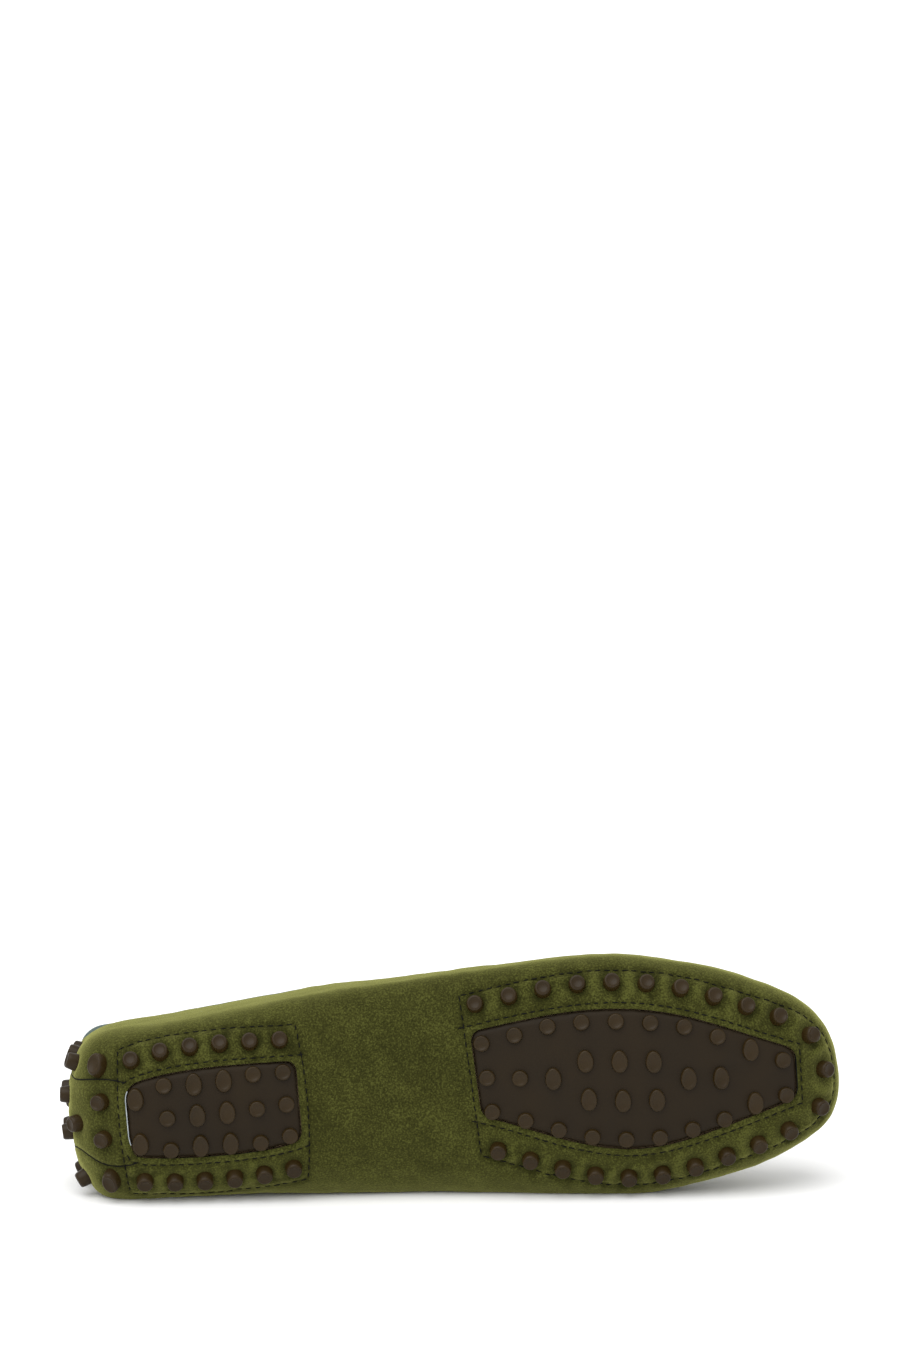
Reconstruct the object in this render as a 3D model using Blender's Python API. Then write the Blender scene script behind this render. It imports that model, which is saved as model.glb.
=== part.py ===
"""Suede driving loafer with tassels, for the right foot, lying on its inner side.

The shoe is worked out standing on its sole, in millimetres: x runs from heel to toe, y towards
the inner side of the foot and z up. Its last is a loop of ribs. Each rib starts on the middle
line under the foot, swings out to the girth, the widest line, and comes back to the crest on top.
At the end all pieces are turned together onto the floor, where the shoe lies on its inner side.
The soft wall is flat there, as the floor presses it.
"""

from collections import namedtuple
import math

import bmesh
import bpy
from mathutils import Matrix, Vector
from mathutils.bvhtree import BVHTree
import numpy as np

MM = 0.001

# Driving sizes of the last
LENGTH = 288.0
BALL_WIDTH = 90.0
COLLAR_BACK = 61.5
COLLAR_DIP = 49.0
COLLAR_DIP_X = 92.0
THROAT_X = 140.0
THROAT_RISE = 26.0

# Wall, rubber and footbed
WALL = 2.0
FIT_GAP = 0.4
PLATE = 1.2
PAD_RECESS = 0.4
INSOLE = 2.0
APRON_RIDGE = 1.3

# Sections of the last. Feet and x are shares of the length, y of the ball width, the rest millimetres.
# Tread is the share of the rib at which the outer line of stitches runs.
Section = namedtuple(
    "Section",
    "name foot inner_x inner_y inner_z outer_x outer_y outer_z sole crest inner_tread outer_tread",
)
SECTIONS = (
    Section("heel_back", 0.119, -0.005, -0.01, 25, -0.005, -0.01, 25, 1.3, 88, 0.82, 0.82),
    Section("heel_corner", 0.127, 0.029, 0.378, 23, 0.035, -0.292, 23, 1.3, 88, 0.84, 0.80),
    Section("heel_seat", 0.163, 0.109, 0.411, 21, 0.109, -0.331, 21, 1.3, 90, 0.915, 0.88),
    Section("waist", 0.297, 0.297, 0.438, 23, 0.297, -0.403, 21, 3.6, 90, 0.80, 0.77),
    Section("shank", 0.465, 0.465, 0.468, 23, 0.455, -0.446, 20, 5.6, 76, 0.55, 0.79),
    Section("joint", 0.614, 0.624, 0.508, 20, 0.594, -0.484, 18, 2.4, 62, 0.80, 0.88),
    Section("ball", 0.722, 0.747, 0.522, 18, 0.708, -0.492, 18, 1.3, 55, 0.905, 0.905),
    Section("forepart", 0.792, 0.858, 0.464, 18, 0.826, -0.426, 18, 2.2, 51, 0.880, 0.890),
    Section("toe_side", 0.839, 0.940, 0.378, 20, 0.925, -0.304, 20, 4.0, 48.5, 0.88, 0.875),
    Section("toe_corner", 0.857, 0.990, 0.262, 22, 0.985, -0.154, 22, 5.2, 47.5, 0.915, 0.93),
    Section("toe_tip", 0.864, 1.005, 0.080, 24, 1.005, 0.080, 24, 5.6, 47, 0.945, 0.945),
)

# Powers of the arcs: how square the rib is under the girth, and how upright above it
SOLE_SQUARE = 2.5
WALL_SQUARE = 2.1
WALL_UPRIGHT = 2.2

# How the shoe lies: turns of the way down from the inner side in degrees, and how far the soft wall
# reaches that way before the floor flattens it
LYING_YAW = 3.38
LYING_ROLL = 2.67
REST_REACH = 34.9

# Rib angles in degrees: -90 on the middle line under the foot, 0 at the girth, 90 on the crest
INSOLE_ROWS = (-90, -54, -40)
PLATE_ROWS = (-90, -72, -54, -40, -27, -14)
APRON_SEAM = 45.0
UPPER_ROWS = (*PLATE_ROWS, 0, 12, 24, 36, APRON_SEAM - 2.5, APRON_SEAM, APRON_SEAM + 2.5, 60, 75, 90)
COLUMNS_PER_SIDE = 20
FINE_COLUMNS_PER_SIDE = 160
STRAIGHT_RUN = 45.0

# Fields of studs: where stitches, window and studs end along the foot, how those ends slant across it,
# and the insets of studs and window from the outer stitches on the inner and the outer side. The window's
# sides run on straight from a place along the foot to its front end, which has a slant of its own.
Field = namedtuple(
    "Field",
    "rear front slant window_rear window_front straight_from front_slant stud_rear stud_slant "
    "stud_front stud_front_slant inner_stud outer_stud inner_window outer_window",
)
FOREFOOT = Field(149.8, 2 * LENGTH, 0.075, 151.8, 272.3, 256.0, 0.0, 155.9, 0.095, 267.0, 0.04,
                 3.9, 4.3, 15.0, 13.6)
HEEL = Field(19.2, 85.9, 0.02, 20.4, 85.1, 2 * LENGTH, 0.02, 24.5, 0.045, 80.2, 0.045,
             6.2, 5.2, 15.4, 12.9)
OUTLINE_BULGE = 0.15

# Studs in rows across each pad: insets of the outermost two from the studs beside the pad, and
# whether they and the ones between them are long. The toe has studs of its own beside the pad.
Row = namedtuple("Row", "inner_inset outer_inset edge_long middle_count middle_long")
TOE_STUDS = 3
FOREFOOT_PAD_ROWS = (
    Row(15.2, 14.6, False, 1, False),
    Row(15.5, 14.3, False, 1, False),
    Row(15.4, 13.5, False, 1, True),
    Row(15.1, 13.7, False, 2, True),
    Row(15.1, 14.1, False, 2, True),
    Row(14.7, 14.2, False, 2, True),
    Row(14.7, 13.9, False, 1, True),
    Row(14.4, 14.7, False, 1, True),
    Row(16.1, 16.0, True, 0, False),
    Row(13.9, 16.2, False, 0, False),
)
HEEL_PAD_ROWS = (
    Row(14.7, 14.1, True, 0, False),
    Row(12.5, 11.9, False, 1, False),
    Row(13.8, 13.3, True, 1, True),
    Row(13.8, 13.3, True, 1, True),
    Row(12.5, 11.8, False, 1, False),
    Row(12.7, 11.8, False, 1, False),
)

# Studs up the back of the heel: rib angles of each row, places to either side of the middle, and how
# much the studs at the sides are stretched
BackRow = namedtuple("BackRow", "middle_angle middle_places side_angle side_places side_stretch")
BACK_ROWS = (
    BackRow(-54, (-8.8, 8.8), -42, (-27.5, 26.5), 1.4),
    BackRow(-27, (1,), -27, (), 1.0),
    BackRow(-2.5, (-7.2, 4.3), -8, (-20.6, 19.2), 1.0),
    BackRow(9, (-7.2, 4.3), 9, (-21, 18.3), 1.0),
    BackRow(19, (-1.5,), 20, (-20.8,), 1.0),
)
BACK_MIDDLE = 4.1
BACK_PLATE_ROWS = (-58, -47, -36, -25, -12, 3, 24)
BACK_GAP = 0.6
BACK_PLATE_REACH = 33.0

# Stud shapes: radii at the foot and the top, height over the suede or the pad, stretch across the foot
Stud = namedtuple("Stud", "sides foot_radius top_radius height stretch")
EDGE_STUD = Stud(8, 3.3, 2.7, 3.2, 1.0)
PAD_STUD = Stud(6, 2.9, 2.7, 1.6, 1.0)
LONG_PAD_STUD = Stud(8, 3.05, 2.75, 1.6, 1.4)
HOLE_GAP = 0.35
PAD_STUD_ROOT = 0.5

# Finishes: colour and roughness
Finish = namedtuple("Finish", "colour roughness")
SUEDE = Finish((0.090, 0.090, 0.021, 1.0), 0.95)
RUBBER = Finish((0.034, 0.025, 0.018, 1.0), 0.6)
FOOTBED = Finish((0.30, 0.20, 0.11, 1.0), 0.7)
LACE = Finish((0.070, 0.070, 0.017, 1.0), 0.9)

# Tassels: the knot's place along the foot, and turned rings from the cord to the end of the fringe
KNOT_X = 150.0
KNOT_HEIGHT = 3.2
KNOT_LOBE = (3.8, 3.4, 2.9)
KNOT_WRAP = (5.4, 4.2, 3.2)
KNOT_FACETS = 2
TASSEL_SPACING = 13.0
TASSEL_SIDES = 12
Ring = namedtuple("Ring", "drop radius groove")
TASSEL_RINGS = (
    Ring(0.0, 1.4, 0.0),
    Ring(4.6, 1.4, 0.0),
    Ring(5.6, 3.0, 0.0),
    Ring(8.2, 3.9, 0.0),
    Ring(11.2, 3.0, 0.0),
    Ring(12.4, 3.2, 0.05),
    Ring(17.0, 4.4, 0.16),
    Ring(25.0, 5.0, 0.18),
    Ring(33.5, 5.4, 0.18),
)


def closed_spline(knots, period, values):
    """Return a smooth periodic curve through the values, one row of values for each knot."""
    count = len(knots)
    steps = np.diff(np.append(knots, period))
    slopes = (np.roll(values, -1, axis=0) - values) / steps[:, None]
    weights = np.zeros((count, count))
    for i in range(count):
        weights[i, i - 1] = steps[i - 1]
        weights[i, i] = 2 * (steps[i - 1] + steps[i])
        weights[i, (i + 1) % count] = steps[i]
    bends = np.linalg.solve(weights, 6 * (slopes - np.roll(slopes, 1, axis=0)))

    def curve(place):
        place = np.asarray(place, dtype=float) % period
        i = np.searchsorted(knots, place, side="right") - 1
        after = (i + 1) % count
        step = steps[i][..., None]
        far = (place - knots[i])[..., None] / step
        near = 1 - far
        bend = (near**3 - near) * bends[i] + (far**3 - far) * bends[after]
        return near * values[i] + far * values[after] + bend * step**2 / 6

    return curve


def last_curve():
    """Return the smooth loop of ribs around the last, and the length of its path."""
    inner = []
    outer = []
    for row in SECTIONS:
        shared = (row.sole, row.crest)
        inner.append((row.foot * LENGTH, row.inner_x * LENGTH, row.inner_y * BALL_WIDTH, row.inner_z,
                      *shared, row.inner_tread))
        outer.append((row.foot * LENGTH, row.outer_x * LENGTH, row.outer_y * BALL_WIDTH, row.outer_z,
                      *shared, row.outer_tread))
    inner = np.array(inner)
    outer = np.array(outer)
    inner_steps = np.linalg.norm(np.diff(inner[:, 1:3], axis=0), axis=1)
    outer_steps = np.linalg.norm(np.diff(outer[:, 1:3], axis=0), axis=1)
    half = np.concatenate(([0], np.cumsum((inner_steps + outer_steps) / 2)))
    period = 2 * half[-1]
    knots = np.concatenate((half, period - half[-2:0:-1]))
    values = np.concatenate((inner, outer[-2:0:-1]))
    return closed_spline(knots, period, values), period


RIBS, LOOP = last_curve()


def way_down():
    """Return the direction that points at the floor, in the standing shoe's axes."""
    yaw = math.radians(LYING_YAW)
    roll = math.radians(LYING_ROLL)
    return np.array((-math.sin(yaw) * math.cos(roll), math.cos(yaw) * math.cos(roll), math.sin(roll)))


DOWN = way_down()


def surface(place, angle):
    """Return points on the skin of the last, at places along the loop and one rib angle."""
    ribs = RIBS(place)
    foot, girth_x, girth_y, girth_z, sole, crest = (ribs[..., k] for k in range(6))
    turn = math.radians(abs(angle))
    if angle < 0:
        reach = max(math.cos(turn), 0) ** (2 / SOLE_SQUARE)
        height = girth_z - (girth_z - sole) * math.sin(turn)
    else:
        reach = max(math.cos(turn), 0) ** (2 / WALL_SQUARE)
        height = girth_z + (crest - girth_z) * math.sin(turn) ** (2 / WALL_UPRIGHT)
    points = np.stack((foot + (girth_x - foot) * reach, girth_y * reach, height), axis=-1)
    sunk = np.maximum(points @ DOWN - REST_REACH, 0)
    return points - sunk[..., None] * DOWN


def skin(place, angle, depth=0.0):
    """Return points at a depth under the skin, and the outward directions there."""
    place = np.asarray(place, dtype=float)
    level = min(max(angle, -84), 84)
    along = surface(place + 1, level) - surface(place - 1, level)
    upward = surface(place, level + 1) - surface(place, level - 1)
    outward = np.cross(upward, along)
    outward /= np.linalg.norm(outward, axis=-1)[..., None]
    return surface(place, angle) - depth * outward, outward


def even_places(columns_per_side):
    """Return evenly spaced places all around the loop, from the heel along the inner side."""
    return np.arange(2 * columns_per_side) * LOOP / (2 * columns_per_side)


def turning(line):
    """Return how far a plan line turns at each of its points, from the heading before and after."""
    steps = np.diff(line, axis=0)
    heading = np.unwrap(np.arctan2(steps[:, 1], steps[:, 0]))
    return np.concatenate(([0], np.abs(np.diff(heading)), [0]))


def loop_places(columns_per_side):
    """Return places all around the loop, closer together where the outline turns."""
    half = np.linspace(0, LOOP / 2, FINE_COLUMNS_PER_SIDE + 1)
    turns = (turning(RIBS(half)[:, 1:3]) + turning(RIBS(-half)[:, 1:3])) / 2
    pace = np.cumsum(turns + (half[1] - half[0]) / STRAIGHT_RUN)
    pace -= pace[0]
    side = np.interp(np.linspace(0, pace[-1], columns_per_side + 1), pace, half)
    return np.concatenate((side, LOOP - side[-2:0:-1]))


PLACES = loop_places(COLUMNS_PER_SIDE)


def sheet(places, rows, depth, ridge=0.0):
    """Return points and faces of one sheet under the skin. Rows at 90 degrees join on the middle line."""
    count = len(places)
    whole = count > 2 and abs(places[-1] + places[1] - LOOP) < 1e-6
    points = []
    index = {}
    for i, angle in enumerate(rows):
        raised = ridge if angle == APRON_SEAM else 0.0
        ring, _ = skin(places, angle, depth - raised)
        for j in range(count):
            mirror = (count - j) % count
            if abs(angle) == 90 and mirror < j:
                index[i, j] = index[i, mirror]
                continue
            index[i, j] = len(points)
            middle = (ring[j] + ring[mirror]) / 2
            points.append(middle if abs(angle) == 90 else ring[j])
    faces = []
    for i in range(len(rows) - 1):
        for j in range(count if whole else count - 1):
            after = (j + 1) % count
            faces.append((index[i, j], index[i + 1, j], index[i + 1, after], index[i, after]))
    return points, faces


def layer(places, rows, outer_depth, inner_depth, ridge=0.0):
    """Return points and faces of the closed solid between two depths under the skin."""
    points, faces = sheet(places, rows, outer_depth, ridge)
    inner_points, _ = sheet(places, rows, inner_depth)
    shift = len(points)
    edges = set()
    for face in faces:
        edges.update(zip(face, face[1:] + face[:1]))
    closing = [tuple(reversed([k + shift for k in face])) for face in faces]
    for start, end in edges:
        if (end, start) not in edges:
            closing.append((end, start, start + shift, end + shift))
    return points + inner_points, faces + sorted(closing)


def add_object(name, points, faces, cutter=False):
    """Add a mesh object from points in millimetres."""
    mesh = bpy.data.meshes.new(name)
    mesh.from_pydata([Vector(point) * MM for point in points], [], faces)
    mesh.update()
    item = bpy.data.objects.new(name, mesh)
    bpy.context.scene.collection.objects.link(item)
    if cutter:
        item.hide_render = True
        item.display_type = "WIRE"
    return item


def add_boolean(item, other, operation):
    """Cut, join or trim an object with another one."""
    change = item.modifiers.new(other.name, "BOOLEAN")
    change.object = other
    change.operation = operation
    change.solver = "EXACT"


def finish_piece(item, finish):
    """Give a piece its own material and smooth shading over its round parts."""
    material = bpy.data.materials.new(item.name + "_finish")
    material.use_nodes = True
    shader = material.node_tree.nodes["Principled BSDF"]
    shader.inputs["Base Color"].default_value = finish.colour
    shader.inputs["Roughness"].default_value = finish.roughness
    shader.inputs["Metallic"].default_value = 0.0
    item.data.materials.append(material)
    item.data.shade_smooth()
    item.data.set_sharp_from_angle(angle=math.radians(40))


def tube_faces(rings, sides):
    """Return the faces of a closed tube whose points come ring by ring, from its foot to its top."""
    faces = [tuple(range(sides - 1, -1, -1))]
    for ring in range(rings - 1):
        start = ring * sides
        for k in range(sides):
            after = start + (k + 1) % sides
            faces.append((start + k, after, after + sides, start + k + sides))
    faces.append(tuple(range((rings - 1) * sides, rings * sides)))
    return faces


def prism(outline, low, high):
    """Return points and faces of an upright prism over a plan outline."""
    count = len(outline)
    area = sum(a[0] * b[1] - b[0] * a[1] for a, b in zip(outline, outline[1:] + outline[:1]))
    if area < 0:
        outline = outline[::-1]
    points = [(x, y, low) for x, y in outline] + [(x, y, high) for x, y in outline]
    return points, tube_faces(2, count)


def fine_skin():
    """Return a search tree of the skin under the girth, for finding points from the plan."""
    rows = list(range(-90, 1, 3))
    points, faces = sheet(even_places(FINE_COLUMNS_PER_SIDE), rows, 0.0)
    return BVHTree.FromPolygons([Vector(point) for point in points], faces)


def underfoot(tree, x, y):
    """Return the point of the skin under the foot at a plan position, and its outward direction."""
    below = Vector((x, y, -50))
    point, outward, _, _ = tree.ray_cast(below, Vector((0, 0, 1)))
    if outward.z > 0:
        outward = -outward
    return point, outward


def tread_line(inset):
    """Return the plan line at an inset from the outer stitches, without the loops of tight corners.

    The inner side comes first, from heel to toe, and then the outer side, from toe to heel.
    """
    ribs = RIBS(even_places(FINE_COLUMNS_PER_SIDE))
    foot = np.stack((ribs[:, 0], np.zeros(len(ribs))), axis=1)
    line = foot + (ribs[:, 1:3] - foot) * ribs[:, 6:7]
    along = np.roll(line, -1, axis=0) - np.roll(line, 1, axis=0)
    inward = np.stack((along[:, 1], -along[:, 0]), axis=1)
    inward /= np.linalg.norm(inward, axis=1)[:, None]
    moved = line + inset * inward
    clear = np.linalg.norm(moved[:, None] - line[None], axis=2).min(axis=1) > inset - 0.001
    half = len(line) // 2
    return moved[: half + 1][clear[: half + 1]], moved[half:][clear[half:]]


def evenly(points, count):
    """Return a number of points spread evenly along a plan line."""
    points = np.array(points)
    lengths = np.linalg.norm(np.diff(points, axis=0), axis=1)
    travelled = np.concatenate(([0], np.cumsum(lengths)))
    stops = np.linspace(0, travelled[-1], count)
    return [(np.interp(stop, travelled, points[:, 0]), np.interp(stop, travelled, points[:, 1]))
            for stop in stops]


def clipped(line, rear, front, slant):
    """Return the part of a plan line between two slanting lines across the foot, with its ends cut there."""
    kept = []
    for start, end in zip(line[:-1], line[1:]):
        start_x = start[0] - slant * start[1]
        end_x = end[0] - slant * end[1]
        for limit in (rear, front):
            if (start_x - limit) * (end_x - limit) < 0:
                share = (limit - start_x) / (end_x - start_x)
                kept.append(start + (end - start) * share)
        if rear <= end_x <= front:
            kept.append(end)
    return kept


def thinned(line):
    """Return the points that a plan line needs, so that it bulges little from the straight runs between."""
    turns = turning(np.array(line))
    kept = [line[0]]
    turned = 0.0
    for point, turn in zip(line[1:-1], turns[1:-1]):
        turned += turn
        run = np.linalg.norm(point - kept[-1])
        if run * turned > 8 * OUTLINE_BULGE:
            kept.append(point)
            turned = 0.0
    return kept + [line[-1]]


def field_outline(field):
    """Return the plan outline of a field of studs along its outer stitches, inner side first."""
    inner, outer = (clipped(line, field.rear, field.front, field.slant) for line in tread_line(0.0))
    if field.front > LENGTH:
        return thinned(inner + outer)
    return thinned(inner) + thinned(outer)


def straightened(line, start):
    """Return a plan line from heel to toe that runs on straight from a start along the foot."""
    kept = [point for point in line if point[0] < start]
    if len(kept) == len(line):
        return line
    way = (kept[-1] - kept[-3]) / (kept[-1] - kept[-3])[0]
    return kept + [kept[-1] + way * (LENGTH - start)]


def window_outline(field):
    """Return the plan outline of the window that a pad fills, inner side first."""
    inner, _ = tread_line(field.inner_window)
    _, outer = tread_line(field.outer_window)
    sides = []
    for line in (inner, outer[::-1]):
        line = straightened(list(line), field.straight_from)
        line = clipped(line, -LENGTH, field.window_front, field.front_slant)
        sides.append(thinned(clipped(line, field.window_rear, 2 * LENGTH, field.slant)))
    return sides[0] + sides[1][::-1]


def shrunk(outline, gap):
    """Return a plan outline moved inwards by a gap on all its sides. It runs heel to toe, inner side first."""
    points = [Vector(point) for point in outline]
    moved = []
    for before, point, after in zip(points[-1:] + points[:-1], points, points[1:] + points[:1]):
        way_in = (point - before).normalized()
        way_out = (after - point).normalized()
        inward = Vector((way_in.y + way_out.y, -way_in.x - way_out.x)).normalized()
        moved.append(point + inward * gap / inward.dot(Vector((way_in.y, -way_in.x))))
    return [tuple(point) for point in moved]


def stud_solid(point, outward, shape, sink):
    """Return points and faces of one stud that stands on a point, with its root sunk below it."""
    across = Vector((0, 1, 0))
    long_way = (across - outward * across.dot(outward)).normalized()
    short_way = outward.cross(long_way)
    points = []
    rings = ((-sink, shape.foot_radius), (shape.height, shape.top_radius))
    for height, radius in rings:
        for k in range(shape.sides):
            turn = 2 * math.pi * (k + 0.5) / shape.sides
            spread = long_way * math.cos(turn) * shape.stretch + short_way * math.sin(turn)
            points.append(point + outward * height + spread * radius)
    return points, tube_faces(len(rings), shape.sides)


def joined(solids):
    """Return the points and faces of many solids as one list."""
    points = []
    faces = []
    for some_points, some_faces in solids:
        shift = len(points)
        points.extend(some_points)
        faces.extend(tuple(k + shift for k in face) for face in some_faces)
    return points, faces


def stud_lines(field):
    """Return the plan lines of the studs beside a pad, inner side first, and the one around the toe."""
    inner, _ = tread_line(field.inner_stud)
    _, outer = tread_line(field.outer_stud)
    sides = []
    for line in (inner, outer[::-1]):
        line = clipped(line, -LENGTH, field.stud_front, field.stud_front_slant)
        sides.append(clipped(line, field.stud_rear, 2 * LENGTH, field.stud_slant))
    toe = [clipped(line, field.stud_front, 2 * LENGTH, field.stud_front_slant) for line in (inner, outer)]
    return sides[0], sides[1], toe[0] + toe[1]


def edge_stud_places():
    """Return the plan places of the studs beside both pads: pairs across the foot, and the toe's own."""
    pairs = []
    for field, rows in ((FOREFOOT, FOREFOOT_PAD_ROWS), (HEEL, HEEL_PAD_ROWS)):
        inner, outer, _ = stud_lines(field)
        pairs.append(list(zip(evenly(inner, len(rows)), evenly(outer, len(rows)))))
    toe = evenly(stud_lines(FOREFOOT)[2], TOE_STUDS + 2)[1:-1]
    return pairs[0], toe, pairs[1]


def pad_stud_places(pairs, rows):
    """Return the plan places of the studs on a pad, each with its shape."""
    places = []
    for (start, end), row in zip(pairs, rows):
        start = np.array(start)
        end = np.array(end)
        across = (end - start) / np.linalg.norm(end - start)
        start = start + across * row.inner_inset
        end = end - across * row.outer_inset
        edge = LONG_PAD_STUD if row.edge_long else PAD_STUD
        middle = LONG_PAD_STUD if row.middle_long else PAD_STUD
        places.append((start, edge))
        places.append((end, edge))
        for k in range(row.middle_count):
            share = (k + 1) / (row.middle_count + 1)
            places.append((start + (end - start) * share, middle))
    return places


def make_sole(name, field, edge_places, pad_places, tree):
    """Make one rubber unit: plate behind the suede, pad in its window, and all its studs."""
    plate_top = WALL + FIT_GAP
    root = plate_top + PLATE / 2
    unit = add_object(name, *layer(PLACES, PLATE_ROWS, plate_top, plate_top + PLATE))
    outline = field_outline(field)
    trim = add_object(name + "_trim", *prism(outline, -20, 30), cutter=True)
    add_boolean(unit, trim, "INTERSECT")
    pad = add_object(name + "_pad", *layer(PLACES, PLATE_ROWS, PAD_RECESS, root), cutter=True)
    outline = shrunk(window_outline(field), FIT_GAP)
    window = add_object(name + "_pad_trim", *prism(outline, -20, 30), cutter=True)
    add_boolean(pad, window, "INTERSECT")
    add_boolean(unit, pad, "UNION")
    studs = []
    for x, y in edge_places:
        studs.append(stud_solid(*underfoot(tree, x, y), EDGE_STUD, root))
    for (x, y), shape in pad_places:
        point, outward = underfoot(tree, x, y)
        studs.append(stud_solid(point - outward * PAD_RECESS, outward, shape, PAD_STUD_ROOT))
    stud_group = add_object(name + "_studs", *joined(studs), cutter=True)
    add_boolean(unit, stud_group, "UNION")
    finish_piece(unit, RUBBER)
    return unit


def back_studs():
    """Return the studs up the heel: point, outward direction and stretch of each."""
    studs = []
    for row in BACK_ROWS:
        middle = [(place, row.middle_angle, 1.0) for place in row.middle_places]
        sides = [(place, row.side_angle, row.side_stretch) for place in row.side_places]
        for place, angle, stretch in middle + sides:
            point, outward = skin(place + BACK_MIDDLE, angle)
            studs.append((Vector(point), Vector(outward), stretch))
    return studs


def make_heel_back():
    """Make the rubber piece up the back of the heel, with its studs."""
    top = WALL + BACK_GAP
    places = np.sort(np.where(PLACES > LOOP / 2, PLACES - LOOP, PLACES))
    places = places[np.abs(places - BACK_MIDDLE) < BACK_PLATE_REACH]
    piece = add_object("heel_back_studs", *layer(places, BACK_PLATE_ROWS, top, top + PLATE))
    edge = HEEL.rear - 2 * FIT_GAP
    corners = [(-20, -60), (edge, -60), (edge, 60), (-20, 60)]
    trim = add_object("heel_back_trim", *prism(corners, -20, 90), cutter=True)
    add_boolean(piece, trim, "INTERSECT")
    root = top + PLATE + FIT_GAP
    studs = []
    for point, outward, stretch in back_studs():
        studs.append(stud_solid(point, outward, EDGE_STUD._replace(stretch=stretch), root))
    group = add_object("heel_back_studs_row", *joined(studs), cutter=True)
    add_boolean(piece, group, "UNION")
    finish_piece(piece, RUBBER)
    return piece


def collar_outline():
    """Return the side view of what the collar and throat leave open, as x and z."""
    points = []
    for x in np.linspace(-15, THROAT_X + 8, 28):
        if x < COLLAR_DIP_X:
            share = (COLLAR_DIP_X - x) / COLLAR_DIP_X
            points.append((x, COLLAR_DIP + (COLLAR_BACK - COLLAR_DIP) * share**2))
        else:
            share = (x - COLLAR_DIP_X) / (THROAT_X - COLLAR_DIP_X)
            points.append((x, COLLAR_DIP + THROAT_RISE * share**2.4))
    return points + [(points[-1][0], 120.0), (points[0][0], 120.0)]


def make_upper(edge_places, tree):
    """Make the suede upper: a hollow wall with its collar, two windows and the holes for the studs."""
    upper = add_object("upper", *layer(PLACES, UPPER_ROWS, 0.0, WALL, APRON_RIDGE))
    outline, faces = prism(collar_outline(), -70, 70)
    opening = add_object("collar_opening", [(x, -y, z) for x, z, y in outline], faces, cutter=True)
    add_boolean(upper, opening, "DIFFERENCE")
    cuts = []
    for field in (FOREFOOT, HEEL):
        cuts.append(prism(window_outline(field), -20, 16))
    radius = EDGE_STUD.foot_radius + HOLE_GAP
    hole = Stud(EDGE_STUD.sides, radius, radius, 2.0, 1.0)
    spots = [(*underfoot(tree, x, y), 1.0) for x, y in edge_places] + back_studs()
    for point, outward, stretch in spots:
        cuts.append(stud_solid(point, outward, hole._replace(stretch=stretch), WALL + hole.height))
    holes = add_object("underfoot_cuts", *joined(cuts), cutter=True)
    add_boolean(upper, holes, "DIFFERENCE")
    finish_piece(upper, SUEDE)
    return upper


def make_insole():
    """Make the footbed on top of the rubber plates."""
    top = WALL + BACK_GAP + PLATE + FIT_GAP
    insole = add_object("insole", *layer(PLACES, INSOLE_ROWS, top, top + INSOLE))
    finish_piece(insole, FOOTBED)
    return insole


def knot_frame():
    """Return the frame of the knot on the crest: forwards, across and up, and its place."""
    half = np.linspace(0, LOOP / 2, FINE_COLUMNS_PER_SIDE + 1)
    place = np.interp(KNOT_X, RIBS(half)[:, 0], half)
    point, inner_way = skin(place, 90)
    _, outer_way = skin(-place, 90)
    up = Vector(inner_way + outer_way).normalized()
    across = Vector((0, 1, 0))
    frame = Matrix((across.cross(up), across, up)).transposed().to_4x4()
    frame.translation = Vector(point) + up * FIT_GAP
    return frame


def ball_solid(centre, sizes):
    """Return points and faces of a faceted ball stretched to three half sizes."""
    ball = bmesh.new()
    bmesh.ops.create_icosphere(ball, subdivisions=KNOT_FACETS, radius=1.0)
    ball.verts.index_update()
    points = [centre + Vector(a * b for a, b in zip(vertex.co, sizes)) for vertex in ball.verts]
    faces = [tuple(vertex.index for vertex in face.verts) for face in ball.faces]
    ball.free()
    return points, faces


def make_tassels():
    """Make the knot on the apron and the two tassels that hang from it towards the floor."""
    frame = knot_frame()
    side = TASSEL_SPACING / 2
    lobes = [ball_solid(Vector((x, 0, KNOT_HEIGHT)), KNOT_LOBE) for x in (-side, side)]
    wrap_points, wrap_faces = ball_solid(Vector((0, 0, KNOT_HEIGHT)), KNOT_WRAP)
    knot = add_object("tassel_knot", [frame @ point for point in wrap_points], wrap_faces)
    lobe_points, lobe_faces = joined(lobes)
    ends = add_object("tassel_knot_ends", [frame @ point for point in lobe_points], lobe_faces, cutter=True)
    add_boolean(knot, ends, "UNION")
    finish_piece(knot, LACE)
    pieces = [knot]
    for name, x in (("tassel_rear", -side), ("tassel_front", side)):
        points = []
        for ring in TASSEL_RINGS:
            for k in range(TASSEL_SIDES):
                turn = 2 * math.pi * k / TASSEL_SIDES
                radius = ring.radius * (1 - ring.groove * (k % 2))
                drop = KNOT_LOBE[1] + FIT_GAP + ring.drop
                spot = Vector((x - radius * math.cos(turn), drop, KNOT_HEIGHT + radius * math.sin(turn)))
                points.append(frame @ spot)
        tassel = add_object(name, points, tube_faces(len(TASSEL_RINGS), TASSEL_SIDES))
        finish_piece(tassel, LACE)
        pieces.append(tassel)
    return pieces


def finished_points(item):
    """Return the points of a piece after its cuts."""
    evaluated = item.evaluated_get(bpy.context.evaluated_depsgraph_get())
    points = [vertex.co.copy() for vertex in evaluated.to_mesh().vertices]
    evaluated.to_mesh_clear()
    return points


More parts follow.
